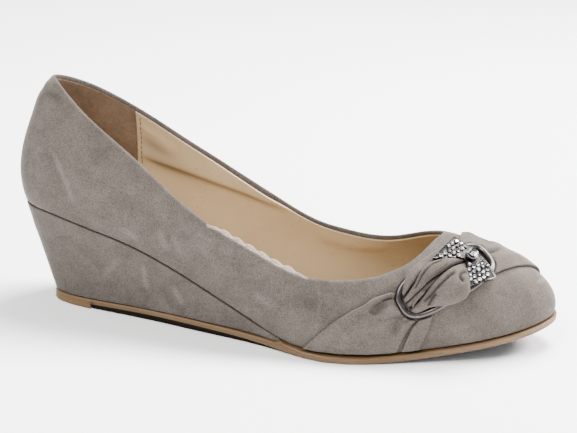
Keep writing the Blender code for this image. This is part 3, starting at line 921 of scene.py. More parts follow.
# Creases and folds, in millimetres in the row's frame. Each has its line, half width, height and how
# much it lightens for wear or a painted highlight, or darkens with painted shade.
UPPER_CREASES = [
    # Pinch below the heel's top edge, where the collar folds over, with painted shade in the pinch and paler
    # ridges beside it
    Stroke(((-15, -8, 100), (-10.5, -11.6, 100.6), (-6, -14.4, 99.8), (-2, -16.4, 97.4)), 1.6, -0.4,
           -0.42, fade=0.4),
    Stroke(((-19, -3, 103), (-13, -8.5, 104.2), (-7.5, -12.6, 103.2)), 2.2, 0.7, 0.10),
    Stroke(((-17, -7, 95.4), (-11, -12.5, 95.2), (-3, -16.6, 93.5)), 2.6, 0.6, 0.18),
    # Long soft creases of the quarter: paler crease lines, and painted shade in the troughs
    Stroke(((-7.5, -21, 78.4), (-2.5, -23.5, 70.3), (2.1, -24.7, 60.9), (4.8, -24.7, 53.1)), 1.2, 0.3, 0.62),
    Stroke(((-9.5, -20, 77.4), (-4.8, -22.8, 69.3), (0, -24.3, 59.9)), 2.6, -0.3, -0.10),
    Stroke(((27.1, -27.2, 46.4), (32.3, -27.4, 42.8), (36.8, -27.7, 40.2)), 1.3, 0.25, 0.5),
    Stroke(((45.9, -30.5, 48.5), (48.2, -30.4, 42.9), (50.5, -30, 37.6)), 1.6, 0.25, 0.5),
    Stroke(((52, -31, 47), (55, -31, 42), (57, -31, 37)), 1.2, 0.15, 0.35),
    Stroke(((9.6, -22.2, 88.1), (15.1, -24.6, 79.9), (18.9, -26.2, 72.4)), 4.0, -0.35, -0.12),
    Stroke(((20, -26.3, 61), (36, -28.4, 52), (54, -31, 44)), 5.0, -0.4, -0.12),
    Stroke(((62, -33.5, 47), (72, -35.6, 39), (80, -37, 31)), 4.0, 0.35, 0.16),
    Stroke(((80.6, -37.8, 44.3), (85.4, -38.6, 39.5), (91.1, -39.5, 36.7)), 3.0, -0.3, -0.14),
    Stroke(((90.4, -38.9, 27), (97, -40, 23.4), (104, -41, 20)), 2.0, 0.3, 0.32),
    Stroke(((113, -42, 27), (120, -42.6, 24.5), (128, -42.4, 23.5)), 3.0, -0.35, -0.16),
    # Inner side of the quarter: paler ridges, and painted shade in the troughs
    Stroke(((4, 23, 80), (20, 25, 66), (38, 26.5, 52)), 4.0, -0.35, -0.12),
    Stroke(((60, 28, 55), (74, 30, 44), (86, 32, 34)), 3.0, 0.3, 0.3),
    Stroke(((92, 34, 38), (106, 38, 28), (120, 41, 20)), 4.0, -0.35, -0.12),
    Stroke(((12, 24, 62), (18, 25, 55), (22, 25, 48)), 1.3, 0.25, 0.5),
    Stroke(((-22, 8, 70), (-24, 3, 62), (-24, -4, 56)), 3.0, 0.25, 0.2),
    # Loose thread and glue on the seam at the back
    Stroke(((-17.6, -14, 47.4), (-15.4, -15.6, 47.2), (-13, -16.8, 46.8)), 0.8, 0.1, 1.1),
    # Painted shade on the waist and the toe wall, and a painted highlight on the top of the vamp
    Stroke(((58, -33, 40), (80, -37, 33), (104, -41, 26), (132, -43, 20)), 10.0, 0.0, -0.16, fade=0.2),
    Stroke(((186, -38, 12), (206, -26, 13), (219, -10, 14)), 7.0, 0.0, -0.12),
    Stroke(((194, -8, 43), (205, 0, 40), (214, 5, 35)), 8.0, 0.0, 0.20, fade=0.5),
    # Painted highlight along the edge of the far topline, where it catches the light
    Stroke(((1.4, 15.5, 99.5), (13, 19, 94.5), (29, 22.5, 85.5), (53, 25, 71), (69, 26, 62.5)), 1.7, 0.0,
           0.45, fade=0.1),
    Stroke(((66, 26, 64), (92, 29, 52), (118, 31, 45), (142, 28, 41)), 1.5, 0.0, 0.35, fade=0.1),
    # Light rubs on the toe
    Stroke(((214.5, -5, 32.1), (216.4, 0, 31.7), (217.8, 5.8, 31)), 0.7, 0.05, 1.0),
    Stroke(((223, -8, 20), (224, -3, 20)), 0.7, 0.0, 0.6),
    # Hollow around the throat's corner and beside the ring, darkened with painted shade
    Stroke(((150, -24, 40.5), (157, -17, 43), (163, -8, 44.6)), 3.0, -0.35, -0.08),
    Stroke(((176, -33, 21), (184, -30, 24), (192, -25, 28)), 4.0, -0.4, -0.16),
]
WEDGE_CREASES = [
    # Creases of the wedge's cover: paler crease lines, and painted shade in the troughs
    Stroke(((37.8, -25.7, 29.6), (38.6, -25, 22), (39.7, -24.4, 15.2)), 1.3, 0.3, 0.6),
    Stroke(((52, -27.4, 20.6), (55, -27.6, 15.7), (57.9, -27.9, 11)), 1.6, 0.25, 0.42),
    Stroke(((-5.7, -19.2, 38.6), (-4.2, -18.3, 33.1), (0.5, -17.8, 22.5)), 3.0, -0.25, -0.08),
    Stroke(((8, -21, 34), (14, -21, 26), (22, -21.5, 17)), 4.0, -0.28, -0.08),
    Stroke(((28, -23, 32), (22, -22, 24), (16, -21, 15)), 1.8, 0.25, 0.36),
    Stroke(((64, -29, 15), (78, -31, 9), (88, -33, 6)), 3.0, -0.25, -0.06),
    Stroke(((10, 22, 34), (22, 23, 24), (34, 24, 15)), 3.5, 0.25, 0.15),
    Stroke(((-18, -8, 38), (-16, 0, 32), (-14, 8, 24)), 3.0, 0.25, 0.15),
]
OUTER_DRAPE_FOLDS = [
    # Upper gather, its slit and the hollow under it, with painted shade in the slit, the hollow and the
    # troughs below
    Stroke(((154.6, -33.2, 33), (150.3, -34.6, 32), (146, -36.6, 29.4), (140.5, -39.3, 26)), 1.7, 1.2, 0.26),
    Stroke(((155.6, -36.6, 30.4), (151.7, -37.2, 29.9), (148.5, -38.4, 28.4)), 0.9, -1.3, -0.9, fade=0.15),
    Stroke(((150.5, -38.2, 28.6), (147.4, -39.6, 25.6), (144.6, -40.8, 22)), 2.4, -1.4, -0.36),
    Stroke(((155.6, -37.6, 27.6), (152.6, -39.6, 24.6), (150.6, -41.4, 19.6), (149, -42.4, 13.6)), 2.0,
           1.0, 0.16),
    Stroke(((158, -38.6, 24), (156.2, -40, 19.4), (154.6, -41.4, 13.8)), 1.5, -0.9, -0.28),
    Stroke(((160.4, -38.6, 20.6), (158.8, -39.8, 16), (157, -40.6, 10.8)), 1.4, 0.7, 0.14),
    Stroke(((143, -41, 24), (139, -42.2, 20), (136, -43, 15)), 3.0, -0.5, -0.14),
]
TAIL_FOLDS = [
    # A ridge and a trough, with painted shade in the trough
    Stroke(((163.6, -37, 20), (162.2, -38.6, 14), (160, -38.8, 8)), 1.4, 0.35, 0.10),
    Stroke(((166.4, -36, 19), (165.6, -37.4, 14), (163.4, -38.2, 8)), 1.2, -0.3, -0.08),
]
INNER_DRAPE_FOLDS = [
    # Painted highlight over the top of the inner drape, then its slit and pleats, with painted shade in the
    # slit and troughs
    Stroke(((192, -6, 46), (188, 8, 45), (182, 20, 42)), 10.0, 0.0, 0.24, fade=0.4),
    Stroke(((191.4, -9.4, 45), (194.6, -2.5, 45.2), (197.2, 5.4, 44)), 1.1, -1.3, -0.85),
    Stroke(((194, -11, 44.6), (198, -5.6, 44.2), (203.4, 1.4, 42), (208.6, 8, 38.4)), 2.2, 1.1, 0.22),
    Stroke(((190, -4, 46), (190, 6, 45.6), (188, 17, 42), (184, 27, 34)), 2.6, -0.8, -0.20),
    Stroke(((183, -1, 47.4), (182, 10, 46.4), (179, 21, 42), (175, 31, 33)), 2.4, 0.7, 0.14),
    Stroke(((178, 2, 48), (175, 14, 46.4), (171, 26, 40.6), (167, 35, 30)), 2.2, -0.6, -0.15),
    Stroke(((197, 10, 42.6), (193, 20, 37.6), (189, 28, 29)), 2.6, 0.6, 0.12),
]
LINING_CREASES = [
    # Padded band under the far topline, which ends at a sharp crease, with painted shade along the crease and
    # in broad bands around it
    Stroke(((19, 24.6, 66.5), (37, 24.8, 61.6), (50.2, 24.4, 58.2), (74.5, 25.2, 51.4), (99, 27, 43.2)), 8.5,
           2.0, 0.0, Crease.LAP, 0.2),
    Stroke(((19, 24.6, 65.5), (37, 24.8, 60.8), (50.2, 24.4, 57.4), (74.5, 25.2, 50.6), (97, 27, 43.4)), 1.1,
           -0.5, -0.8, fade=0.25),
    Stroke(((14, 24.6, 64), (30, 24.8, 61), (46, 24.6, 56.5), (66, 25, 50)), 4.0, -0.2, -0.34, fade=0.5),
    Stroke(((17, 24, 71), (27, 24.4, 68), (40, 24.6, 64), (58, 24.4, 58.5)), 5.5, 0.0, -0.34, fade=0.45),
    Stroke(((19, 23, 75), (26, 23.6, 71.8), (34, 24, 68.4), (43, 23.8, 65.4)), 2.4, -0.6, -0.55, fade=0.4),
    Stroke(((21, 21.6, 81), (28, 22, 77), (36, 22.8, 72.6)), 2.0, 0.5, 0.0),
    Stroke(((104, 29, 34), (126, 33, 29), (148, 30, 31)), 3.0, 0.5, 0.0),
    Stroke(((24, -26, 60), (48, -27, 52), (76, -33, 42)), 8.0, 1.2, 0.0),
]


# Pieces


@dataclass(frozen=True)
class CollarRoll:
    """The heel's top edge rolled forward over a padded wall, with sizes in millimetres."""

    front: float = -2.0
    run: float = 20.0
    roll_start: float = 99.0
    roll_run: float = 8.5
    forward: float = 3.0
    pad_middle: float = 97.0
    pad_width: float = 4.5
    pad: float = 0.9
    fall_start: float = 103.0
    fall_run: float = 5.0
    fall: float = 0.4

    def shape(self, places: np.ndarray) -> np.ndarray:
        """Roll places of the plain heel.

        Args:
            places: The places, in millimetres.

        Returns:
            The places on the rolled heel.
        """
        points = places.copy()
        rear = ease((self.front - points[:, 0]) / self.run)
        rise = points[:, 2].copy()
        forward = self.forward * ease((rise - self.roll_start) / self.roll_run)
        back = self.pad * np.exp(-((rise - self.pad_middle) / self.pad_width) ** 2)
        points[:, 0] += rear * (forward - back)
        points[:, 2] -= rear * self.fall * ease((rise - self.fall_start) / self.fall_run)
        return points

    def apply(self, body: bpy.types.Object) -> None:
        """Roll the heel of a mesh."""
        move_vertices(body, self.shape(read_vectors(body.data.vertices, "co") / MM) * MM)

    def carry(self, stroke: Stroke) -> Stroke:
        """Lay a stroke's line on the rolled heel."""
        line = self.shape(np.asarray(stroke.line, float))
        return replace(stroke, line=tuple(tuple(place) for place in line.tolist()))


@dataclass
class Upper:
    """Nubuck upper with its rolled topline and soft creases."""

    node: bpy.types.Object
    finishes: Finishes
    collar: CollarRoll = CollarRoll()
    rim_angle: float = 55
    rim_round: float = 0.85 * MM

    def build(self) -> bpy.types.Object:
        """Round the wall's rims, roll the collar, smooth the walls and put in the creases.

        Returns:
            The upper.
        """
        body = copy_of_node(self.node, "upper_nubuck")
        bevel_rims(body, self.rim_angle, self.rim_round, segments=1)
        self.collar.apply(body)
        refine(body, 2)
        Relief(body).carve([self.collar.carry(stroke) for stroke in UPPER_CREASES])
        return body

    def dress(self) -> None:
        """Build the upper and hand it over in nubuck."""
        hand_over(self.build(), self.finishes.nubuck, ["upper"])


@dataclass
class InnerSkin:
    """A thin piece that lines the upper's wall: the lining in front, or the heel grip behind."""

    node: bpy.types.Object
    name: str
    keep: Keep
    cut: float
    thickness: float
    material: bpy.types.Material
    lift: float
    creases: Sequence[Stroke] = ()
    collar: CollarRoll = CollarRoll()
    edge_drop: float = 2.0 * MM
    drop_reach: float = 9.0 * MM
    high_rim: float = 12 * MM
    core_rise: float = 14 * MM
    core_ends: tuple[float, float] = (0.0, 180 * MM)
    facing: float = -0.2
    edge_angle: float = 60
    edge_round: float = 0.25 * MM

    def faces_in(self, floor: Callable[[float], float]) -> Callable[[bmesh.types.BMFace], bool]:
        """Find the wall's inner side by its faces that look at the foot's core line.

        Args:
            floor: Height of the insole at a distance along the shoe.

        Returns:
            A test for such faces.
        """
        low, high = self.core_ends

        def looks_in(face: bmesh.types.BMFace) -> bool:
            """Find a face that looks at the core line.

            Args:
                face: The face.

            Returns:
                Whether it does.
            """
            middle = face.calc_center_median()
            along = min(max(middle.x, low), high)
            way = middle - Vector((along, 0, floor(along) + self.core_rise))
            return face.normal.dot(way.normalized()) < self.facing

        return looks_in

    def lower_edge(self, body: bpy.types.Object) -> None:
        """Draw the skin's top edge down from the topline by an even distance.

        Args:
            body: The skin, which is still a single layer.
        """
        mesh = bmesh.new()
        mesh.from_mesh(body.data)
        mesh.verts.ensure_lookup_table()
        rim = [vertex for vertex in mesh.verts if vertex.is_boundary]
        middle = sum(vertex.co.z for vertex in rim) / len(rim)
        down = {}
        for vertex in rim:
            inward = [edge.other_vert(vertex) for edge in vertex.link_edges if not edge.is_boundary]
            if not inward:
                continue
            way = sum(((other.co - vertex.co).normalized() for other in inward), Vector())
            if way.z < 0 or vertex.co.z > middle + self.high_rim:
                down[vertex.index] = way.normalized()
        rims = KDTree(len(down))
        for index in down:
            rims.insert(mesh.verts[index].co, index)
        rims.balance()
        for vertex in mesh.verts:
            _, index, distance = rims.find(vertex.co)
            share = max(0.0, 1 - distance / self.drop_reach)
            vertex.co = vertex.co + down[index] * self.edge_drop * share
        mesh.to_mesh(body.data)
        mesh.free()

    def build(self, floor: Callable[[float], float]) -> bpy.types.Object:
        """Cut the skin out of the wall's inner side and give it its thickness.

        Args:
            floor: Height of the insole at a distance along the shoe.

        Returns:
            The skin.
        """
        body = copy_of_node(self.node, self.name)
        looks_in = self.faces_in(floor)
        with Bench(body) as bench:
            bench.select(Pick.FACE, lambda face: not looks_in(face))
            bpy.ops.mesh.delete(type="FACE")
        self.lower_edge(body)
        self.collar.apply(body)
        refine(body, 2)
        with Bench(body) as bench:
            bench.all()
            bpy.ops.mesh.bisect(plane_co=(self.cut, 0, 0), plane_no=(1, 0, 0),
                                clear_inner=self.keep is Keep.FRONT, clear_outer=self.keep is Keep.REAR)
        relief = Relief(body)
        relief.shift += self.lift
        relief.carve(self.creases)
        apply_modifier(body, "SOLIDIFY", thickness=self.thickness, offset=-1)
        bevel_rims(body, self.edge_angle, self.edge_round)
        return body

    def dress(self, floor: Callable[[float], float]) -> bpy.types.Object:
        """Build the skin and hand it over."""
        return hand_over(self.build(floor), self.material)


@dataclass
class GripSeam:
    """Row of stitches beside the lining's front edge over the heel grip."""

    lining: bpy.types.Object
    finishes: Finishes
    along: float = 22.6 * MM
    pitch: float = 2.5 * MM
    stitch_length: float = 1.7 * MM
    stitch_thickness: float = 0.42 * MM
    stitch_sides: int = 8
    end_angle: float = 60
    end_round: float = 0.2
    lift: float = 0.05
    facing: float = -0.3
    heights: tuple[float, float] = (49 * MM, 92 * MM)

    def stitch(self) -> bpy.types.Object:
        """Model one stitch, lying along Z at the origin.

        Returns:
            The stitch.
        """
        body = add_primitive(bpy.ops.mesh.primitive_cylinder_add, "stitch", vertices=self.stitch_sides,
                             radius=self.stitch_thickness / 2, depth=self.stitch_length)
        bevel_rims(body, self.end_angle, self.stitch_thickness * self.end_round)
        return body

    def placings(self) -> list[Matrix]:
        """Lay out the stitches down both sides of the lining.

        Returns:
            The turn and place of each stitch.
        """
        seat = Seat(self.lining)
        low, high = self.heights
        step = Vector((0, 0, self.pitch))
        placings = []
        for side in (-1, 1):
            way = Vector((0, side, 0))
            for k in range(int((high - low) / self.pitch)):
                start = Vector((self.along, 0, low + k * self.pitch))
                found = seat.along(start, way)
                above = seat.along(start + step, way)
                if not found or not above or found[1].y * side > self.facing:
                    continue
                place, normal = found
                run = (above[0] - place).normalized()
                across = normal.cross(run).normalized()
                turn = Matrix((across, run.cross(across), run)).transposed().to_4x4()
                placings.append(Matrix.Translation(place + normal * self.lift * MM) @ turn)
        return placings

    def dress(self) -> None:
        """Build the seam and hand it over."""
        seam = joined_copies(self.stitch(), "grip_stitches", self.placings())
        hand_over(seam, self.finishes.thread)


@dataclass
class PinkedEdge:
    """Scalloped edge of the turned-in cloth, standing up along the outer topline."""

    upper: Seat
    material: bpy.types.Material
    ends: tuple[float, float] = (69 * MM, 116 * MM)
    scallops: int = 8
    depth: float = 1.2 * MM
    rise: float = 1.6 * MM
    lean: float = 2.4 * MM
    foot_drop: float = 2.5 * MM
    thickness: float = 0.5 * MM
    wall_gap: float = 0.2 * MM
    end_runs: float = 6
    cells_each: int = 8
    cell_rows: int = 4
    search: tuple[float, float] = (20 * MM, 120 * MM)
    search_steps: int = 24

    def rim(self, along: float) -> Vector:
        """Find the inner edge of the outer topline, by halving the height where it lies.

        Args:
            along: Distance along the shoe.

        Returns:
            The edge's place there.
        """
        low, high = self.search
        place = Vector((along, 0, low))
        for _ in range(self.search_steps):
            middle = (low + high) / 2
            found = self.upper.along(Vector((along, 0, middle)), Vector((0, -1, 0)))
            if found:
                low, place = middle, found[0]
            else:
                high = middle
        return place

    def build(self) -> bpy.types.Object:
        """Shape a flat grid into the scalloped strip.

        Returns:
            The strip.
        """
        body = add_primitive(bpy.ops.mesh.primitive_grid_add, "pinked_edge", size=1,
                             x_subdivisions=self.scallops * self.cells_each, y_subdivisions=self.cell_rows)
        start, end = self.ends
        for vertex in body.data.vertices:
            share, up = vertex.co.x + 0.5, vertex.co.y + 0.5
            rim = self.rim(start + (end - start) * share)
            swell = float(ease(np.array(min(share, 1 - share) * self.end_runs)))
            scallop = abs(math.sin(math.pi * self.scallops * share))
            top = (self.rise - self.depth * (1 - scallop)) * swell
            height = -self.foot_drop + (self.foot_drop + top) * up
            inward = self.wall_gap + self.lean * up ** 2 * swell
            vertex.co = rim + Vector((0, inward, height))
        apply_modifier(body, "SOLIDIFY", thickness=self.thickness, offset=0)
        refine(body, 1)
        return body

    def dress(self) -> None:
        """Build the edge and hand it over."""
        hand_over(self.build(), self.material)


@dataclass
class Insole:
    """Soft insole with a rounded edge."""

    node: bpy.types.Object
    finishes: Finishes
    edge_angle: float = 35
    edge_round: float = 0.45 * MM
    fill: float = 0.4

    def dress(self) -> None:
        """Round and smooth the insole and hand it over."""
        body = copy_of_node(self.node, "insole_sock")
        bevel_rims(body, self.edge_angle, self.edge_round)
        refine(body, 1)
        hand_over(body, self.finishes.insole, ["insole"])


@dataclass
class Wedge:
    """Covered wedge, with rounded edges and soft creases in its cover."""

    node: bpy.types.Object
    finishes: Finishes
    edge_angle: float = 50
    edge_round: float = 0.7 * MM
    side_cuts: int = 3
    wall_tilt: float = 0.7
    upright: float = 0.5
    end_start: float = 97 * MM
    end_stretch: float = 1.55
    end_drop: float = 0.12

    def build(self) -> bpy.types.Object:
        """Draw out the thin end, divide the side walls, round the rims and crease the cover.

        Returns:
            The wedge's cover.
        """
        body = copy_of_node(self.node, "wedge_cover")
        points = read_vectors(body.data.vertices, "co")
        beyond = np.clip(points[:, 0] - self.end_start, 0, None)
        points[:, 0] += beyond * (self.end_stretch - 1)
        points[:, 2] -= beyond * self.end_drop
        move_vertices(body, points)
        with Bench(body) as bench:
            bench.select(Pick.EDGE, self.runs_up)
            bpy.ops.mesh.subdivide(number_cuts=self.side_cuts)
        bevel_rims(body, self.edge_angle, self.edge_round, segments=3)
        refine(body, 2)
        Relief(body).carve(WEDGE_CREASES)
        return body

    def runs_up(self, edge: bmesh.types.BMEdge) -> bool:
        """Find an edge that stands on the side wall.

        Args:
            edge: The edge.

        Returns:
            Whether it does.
        """
        way = edge.verts[1].co - edge.verts[0].co
        walls = [abs(face.normal.z) < self.wall_tilt for face in edge.link_faces]
        return abs(way.z) > self.upright * way.length and all(walls)

    def dress(self) -> None:
        """Build the wedge and hand it over."""
        hand_over(self.build(), self.finishes.nubuck, ["wedge"])


@dataclass
class SoleUnit:
    """Outsole with a moulded wall, sunk between two lips, and a dark underside, full at the waist."""

    node: bpy.types.Object
    finishes: Finishes
    lip: float = 0.62 * MM
    sink: float = 0.14 * MM
    waist: tuple[float, float] = (14 * MM, 120 * MM)
    belly_margin: float = 0.45 * MM
    belly_floor: float = 0.35 * MM
    step: tuple[float, float] = (102 * MM, 103.4 * MM)
    step_floor: float = 4.5 * MM
    step_lean: float = 2.6 * MM
    step_drop: float = 0.6 * MM
    looks_down: float = -0.8
    looks_aside: float = 0.35
    looks_back: float = -0.5
    edge_angle: float = 30
    edge_round: float = 0.12 * MM

    def build(self) -> bpy.types.Object:
        """Lean the step, sink the wall between its lips and round everything off.

        Returns:
            The sole, with a material for its wall and one for its underside.
        """
        body = copy_of_node(self.node, "sole_unit")
        points = read_vectors(body.data.vertices, "co")
        start, end = self.step
        on_step = (points[:, 0] > start) & (points[:, 0] < end) & (points[:, 2] > self.step_floor)
        points[on_step] += (self.step_lean, 0, -self.step_drop)
        move_vertices(body, points)
        body.data.materials.append(self.finishes.sole)
        body.data.materials.append(self.finishes.underside)
        with Bench(body) as bench:
            bench.select(Pick.FACE, self.on_wall)
            bpy.ops.mesh.inset(thickness=self.lip, depth=-self.sink)
            bench.select(Pick.FACE, lambda face: face.normal.z < self.looks_down)
            body.active_material_index = 1
            bpy.ops.object.material_slot_assign()
            bench.select(Pick.FACE, self.under_waist)
            bpy.ops.mesh.inset(thickness=self.belly_margin, depth=0)
            mesh = bmesh.from_edit_mesh(body.data)
            for vertex in mesh.verts:
                if vertex.select:
                    vertex.co.z = min(vertex.co.z, self.belly_floor)
            bmesh.update_edit_mesh(body.data)
        round_edges(body, self.edge_angle, self.edge_round)
        return body

    def on_wall(self, face: bmesh.types.BMFace) -> bool:
        """Find a face of the outer wall, but not of the step in front of the wedge.

        Args:
            face: The face.

        Returns:
            Whether it is one.
        """
        start, end = self.step
        middle = face.calc_center_median()
        at_step = face.normal.x < self.looks_back and start < middle.x < end + self.step_lean
        return abs(face.normal.z) < self.looks_aside and not at_step

    def under_waist(self, face: bmesh.types.BMFace) -> bool:
        """Find a face of the underside between the heel lift and the ball.

        Args:
            face: The face.

        Returns:
            Whether it is one.
        """
        start, end = self.waist
        middle = face.calc_center_median()
        at_waist = start < middle.x < end and middle.z > self.belly_floor
        return face.normal.z < self.looks_down and at_waist

    def dress(self) -> None:
        """Build the sole and hand it over."""
        hand_over(self.build(), self.finishes.sole, ["outsole"], smooth_degrees=35)


@dataclass
class Drape:
    """Gathered cloth over the vamp."""

    node: bpy.types.Object
    name: str
    folds: Sequence[Stroke]
    finishes: Finishes
    edge_angle: float = 55
    edge_round: float = 0.45 * MM

    def build(self) -> bpy.types.Object:
        """Round the cloth's edges, smooth it and put in its folds.

        Returns:
            The drape.
        """
        body = copy_of_node(self.node, self.name)
        bevel_rims(body, self.edge_angle, self.edge_round)
        refine(body, 2)
        Relief(body).carve(self.folds)
        return body

    def dress(self) -> None:
        """Build the drape and hand it over."""
        hand_over(self.build(), self.finishes.nubuck, [self.node.name])


class BuckleFrame:
    """The buckle's own directions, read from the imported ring, over the vamp's surface.

    Places along and across the ring, and heights, are in millimetres.
    """

    ray_height: float = 60
    outer_fall: float = 5

    def __init__(self, ring: bpy.types.Object, upper: Seat) -> None:
        """Find the ring's middle and its main directions.

        Args:
            ring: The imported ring.
            upper: The vamp's surface.
        """
        points = read_vectors(ring.data.vertices, "co")
        _, _, ways = np.linalg.svd(points - points.mean(0), full_matrices=False)
        self.upper = upper
        self.middle = Vector(points.mean(0))
        self.along = Vector(ways[0]) * (1 if ways[0][1] > 0 else -1)
        self.up = Vector(ways[2]) * (1 if ways[2][2] > 0 else -1)
        self.across = self.up.cross(self.along)

    def level(self, forward: float, aside: float) -> Vector:
        """The place in the ring's plane at distances along and across the ring."""
        return self.middle + (self.along * forward + self.across * aside) * MM

    def below(self, seat: Seat, forward: float, aside: float) -> tuple[Vector, Vector] | None:
        """Look down on a surface from above the buckle.

        Args:
            seat: The surface.
            forward: Distance along the ring.
            aside: Distance across the ring.

        Returns:
            The surface's place and normal there, or None.
        """
        start = self.level(forward, aside) + self.up * self.ray_height * MM
        return seat.along(start, -self.up)

    def over(self, forward: float, aside: float, height: float) -> Vector:
        """Find a place over the vamp.

        Args:
            forward: Distance along the ring.
            aside: Distance across the ring.
            height: Height over the vamp.

        Returns:
            The place.
        """
        found = self.below(self.upper, forward, aside)
        if not found:
            return self.level(forward, aside) + self.up * (height - self.outer_fall) * MM
        place, normal = found
        return place + (normal + self.up).normalized() * height * MM


@dataclass(frozen=True)
class Lobe:
    """A soft fold of the twisted strap.

    Each row holds the place along and across the ring, the height of the middle over the vamp and
    the half width and half height, in millimetres. Tucks are lines of places along and across.
    """

    name: str
    rows: tuple[tuple[float, float, float, float, float], ...]
    tucks: tuple[tuple[tuple[float, float], ...], ...] = ()


STRAP_LOBES = [
    Lobe("strap_lobe_front", (
        (-20.4, -4.0, 1.6, 0.9, 1.0), (-17.6, -4.4, 2.3, 1.7, 1.9), (-12.4, -4.2, 2.9, 2.8, 2.8),
        (-6.0, -5.0, 3.9, 5.7, 3.3), (1.0, -5.3, 4.3, 6.9, 3.7), (5.6, -4.1, 3.8, 5.6, 3.3),
        (9.0, -1.4, 2.6, 2.5, 2.0), (11.6, 0.0, 2.2, 0.7, 0.9)),
        (((-8.4, -4.0), (-10.6, -4.3), (-12.6, -5.4), (-14.2, -7.4)),
         ((3.2, -6.2), (2.6, -4.8), (3.6, -3.6), (5.6, -3.2), (7.4, -3.6)),
         ((-15.5, -3.4), (-10, -2.6), (-3, -1.8), (3, -1.2)))),
    Lobe("strap_lobe_middle", (
        (-20.6, -0.8, 1.4, 0.8, 0.9), (-17.8, -0.6, 1.9, 1.0, 1.3), (-13.0, 0.3, 1.9, 1.1, 1.3),
        (-7.0, 1.2, 1.5, 1.1, 1.2), (0.0, 1.6, 0.7, 1.0, 0.8), (7.0, 1.4, 0.4, 0.7, 0.6))),
    Lobe("strap_lobe_rear", (
        (-20.8, 1.4, 1.6, 0.8, 1.0), (-18.0, 2.0, 2.3, 1.3, 1.8), (-13.6, 3.1, 2.9, 1.7, 2.5),
        (-7.5, 5.3, 3.5, 2.9, 3.1), (-1.5, 5.4, 3.7, 3.0, 3.3), (4.0, 4.2, 3.4, 2.2, 2.8),
        (8.6, 2.8, 2.9, 1.3, 1.9), (12.0, 1.9, 2.2, 0.6, 0.9)),
        (((-16.5, 3.2), (-10.5, 5.4), (-4, 6.6), (2, 5.8)),)),
    Lobe("strap_fold_edge", (
        (-20.0, 4.2, 1.8, 0.8, 1.0), (-17.8, 5.8, 2.6, 1.6, 2.0), (-14.4, 7.4, 3.1, 2.0, 2.4),
        (-9.0, 8.7, 2.9, 2.0, 2.1), (-3.5, 9.0, 2.3, 1.8, 1.6), (3.0, 8.8, 1.6, 0.8, 0.9))),
    Lobe("strap_wrap_rear", (
        (-17.2, 7.8, 1.6, 0.8, 0.9), (-13.2, 9.0, 2.1, 1.8, 1.7), (-6.0, 9.9, 2.1, 2.1, 1.8),
        (2.0, 10.3, 2.1, 2.2, 1.8), (9.0, 10.3, 1.9, 2.0, 1.5), (15.5, 9.6, 1.2, 0.8, 0.7))),
    Lobe("strap_bar", (
        (-19.2, -2.6, 1.2, 0.5, 0.8), (-18.2, -1.6, 2.9, 0.7, 1.2), (-16.0, -0.7, 3.7, 0.8, 1.1),
        (-13.6, -0.3, 3.8, 0.7, 0.9), (-11.6, -0.4, 3.2, 0.3, 0.4))),
]


@dataclass
class Twist:
    """The twisted strap inside the ring, as overlapping soft folds."""

    frame: BuckleFrame
    finishes: Finishes
    sides: int = 20
    cells: int = 18
    squareness: float = 0.95
    tuck_width: float = 0.75
    tuck_depth: float = 1.1
    tuck_shade: float = -0.85
    tuck_fade: float = 0.12
    reach: float = 6.0

    def build(self, lobe: Lobe) -> bpy.types.Object:
        """Model one fold as a bent tube of soft sections, with its tucks.

        Args:
            lobe: The fold.

        Returns:
            The new object.
        """
        def place(row: np.ndarray, across: float, up: float) -> Vector:
            """Place one vertex of the fold.

            Args:
                row: The fold's row there.
                across: Cosine around the section.
                up: Sine around the section.

            Returns:
                The vertex's place.
            """
            forward, aside, height, half_width, half_height = row
            wide = math.copysign(abs(across) ** self.squareness, across)
            return self.frame.over(forward, aside + wide * half_width, height + up * half_height)

        body = bent_tube(lobe.name, lobe.rows, self.sides, self.cells, place)
        refine(body, 2)
        Relief(body).carve([self.tuck(line) for line in lobe.tucks])
        return body

    def tuck(self, line: Iterable[tuple[float, float]]) -> Stroke:
        """Make a narrow sunk tuck, darkened with painted shade.

        Args:
            line: Places along and across the ring.

        Returns:
            The tuck as a stroke.
        """
        places = [self.frame.over(forward, aside, self.reach) / MM for forward, aside in line]
        return Stroke(tuple(tuple(place) for place in places), self.tuck_width, -self.tuck_depth,
                      self.tuck_shade, fade=self.tuck_fade)

    def dress(self) -> None:
        """Build every fold and hand it over, the first one in place of the plain twist."""
        for k, lobe in enumerate(STRAP_LOBES):
            nodes = ["twist"] if k == 0 else []
            hand_over(self.build(lobe), self.finishes.nubuck, nodes, smooth_degrees=80)


@dataclass
class Ring:
    """Gunmetal ring of the buckle."""

    node: bpy.types.Object
    finishes: Finishes
    swell: float = 0.30 * MM

    def build(self) -> bpy.types.Object:
        """Smooth the ring and bring its wire back to full thickness.

        Returns:
            The ring.
        """
        body = copy_of_node(self.node, "ring_gunmetal")
        refine(body, 2)
        normals = read_vectors(body.data.vertex_normals, "vector")
        move_vertices(body, read_vectors(body.data.vertices, "co") + normals * self.swell)
        return body

    def dress(self) -> None:
        """Build the ring and hand it over."""
        hand_over(self.build(), self.finishes.gunmetal, ["buckle_ring"], smooth_degrees=80)


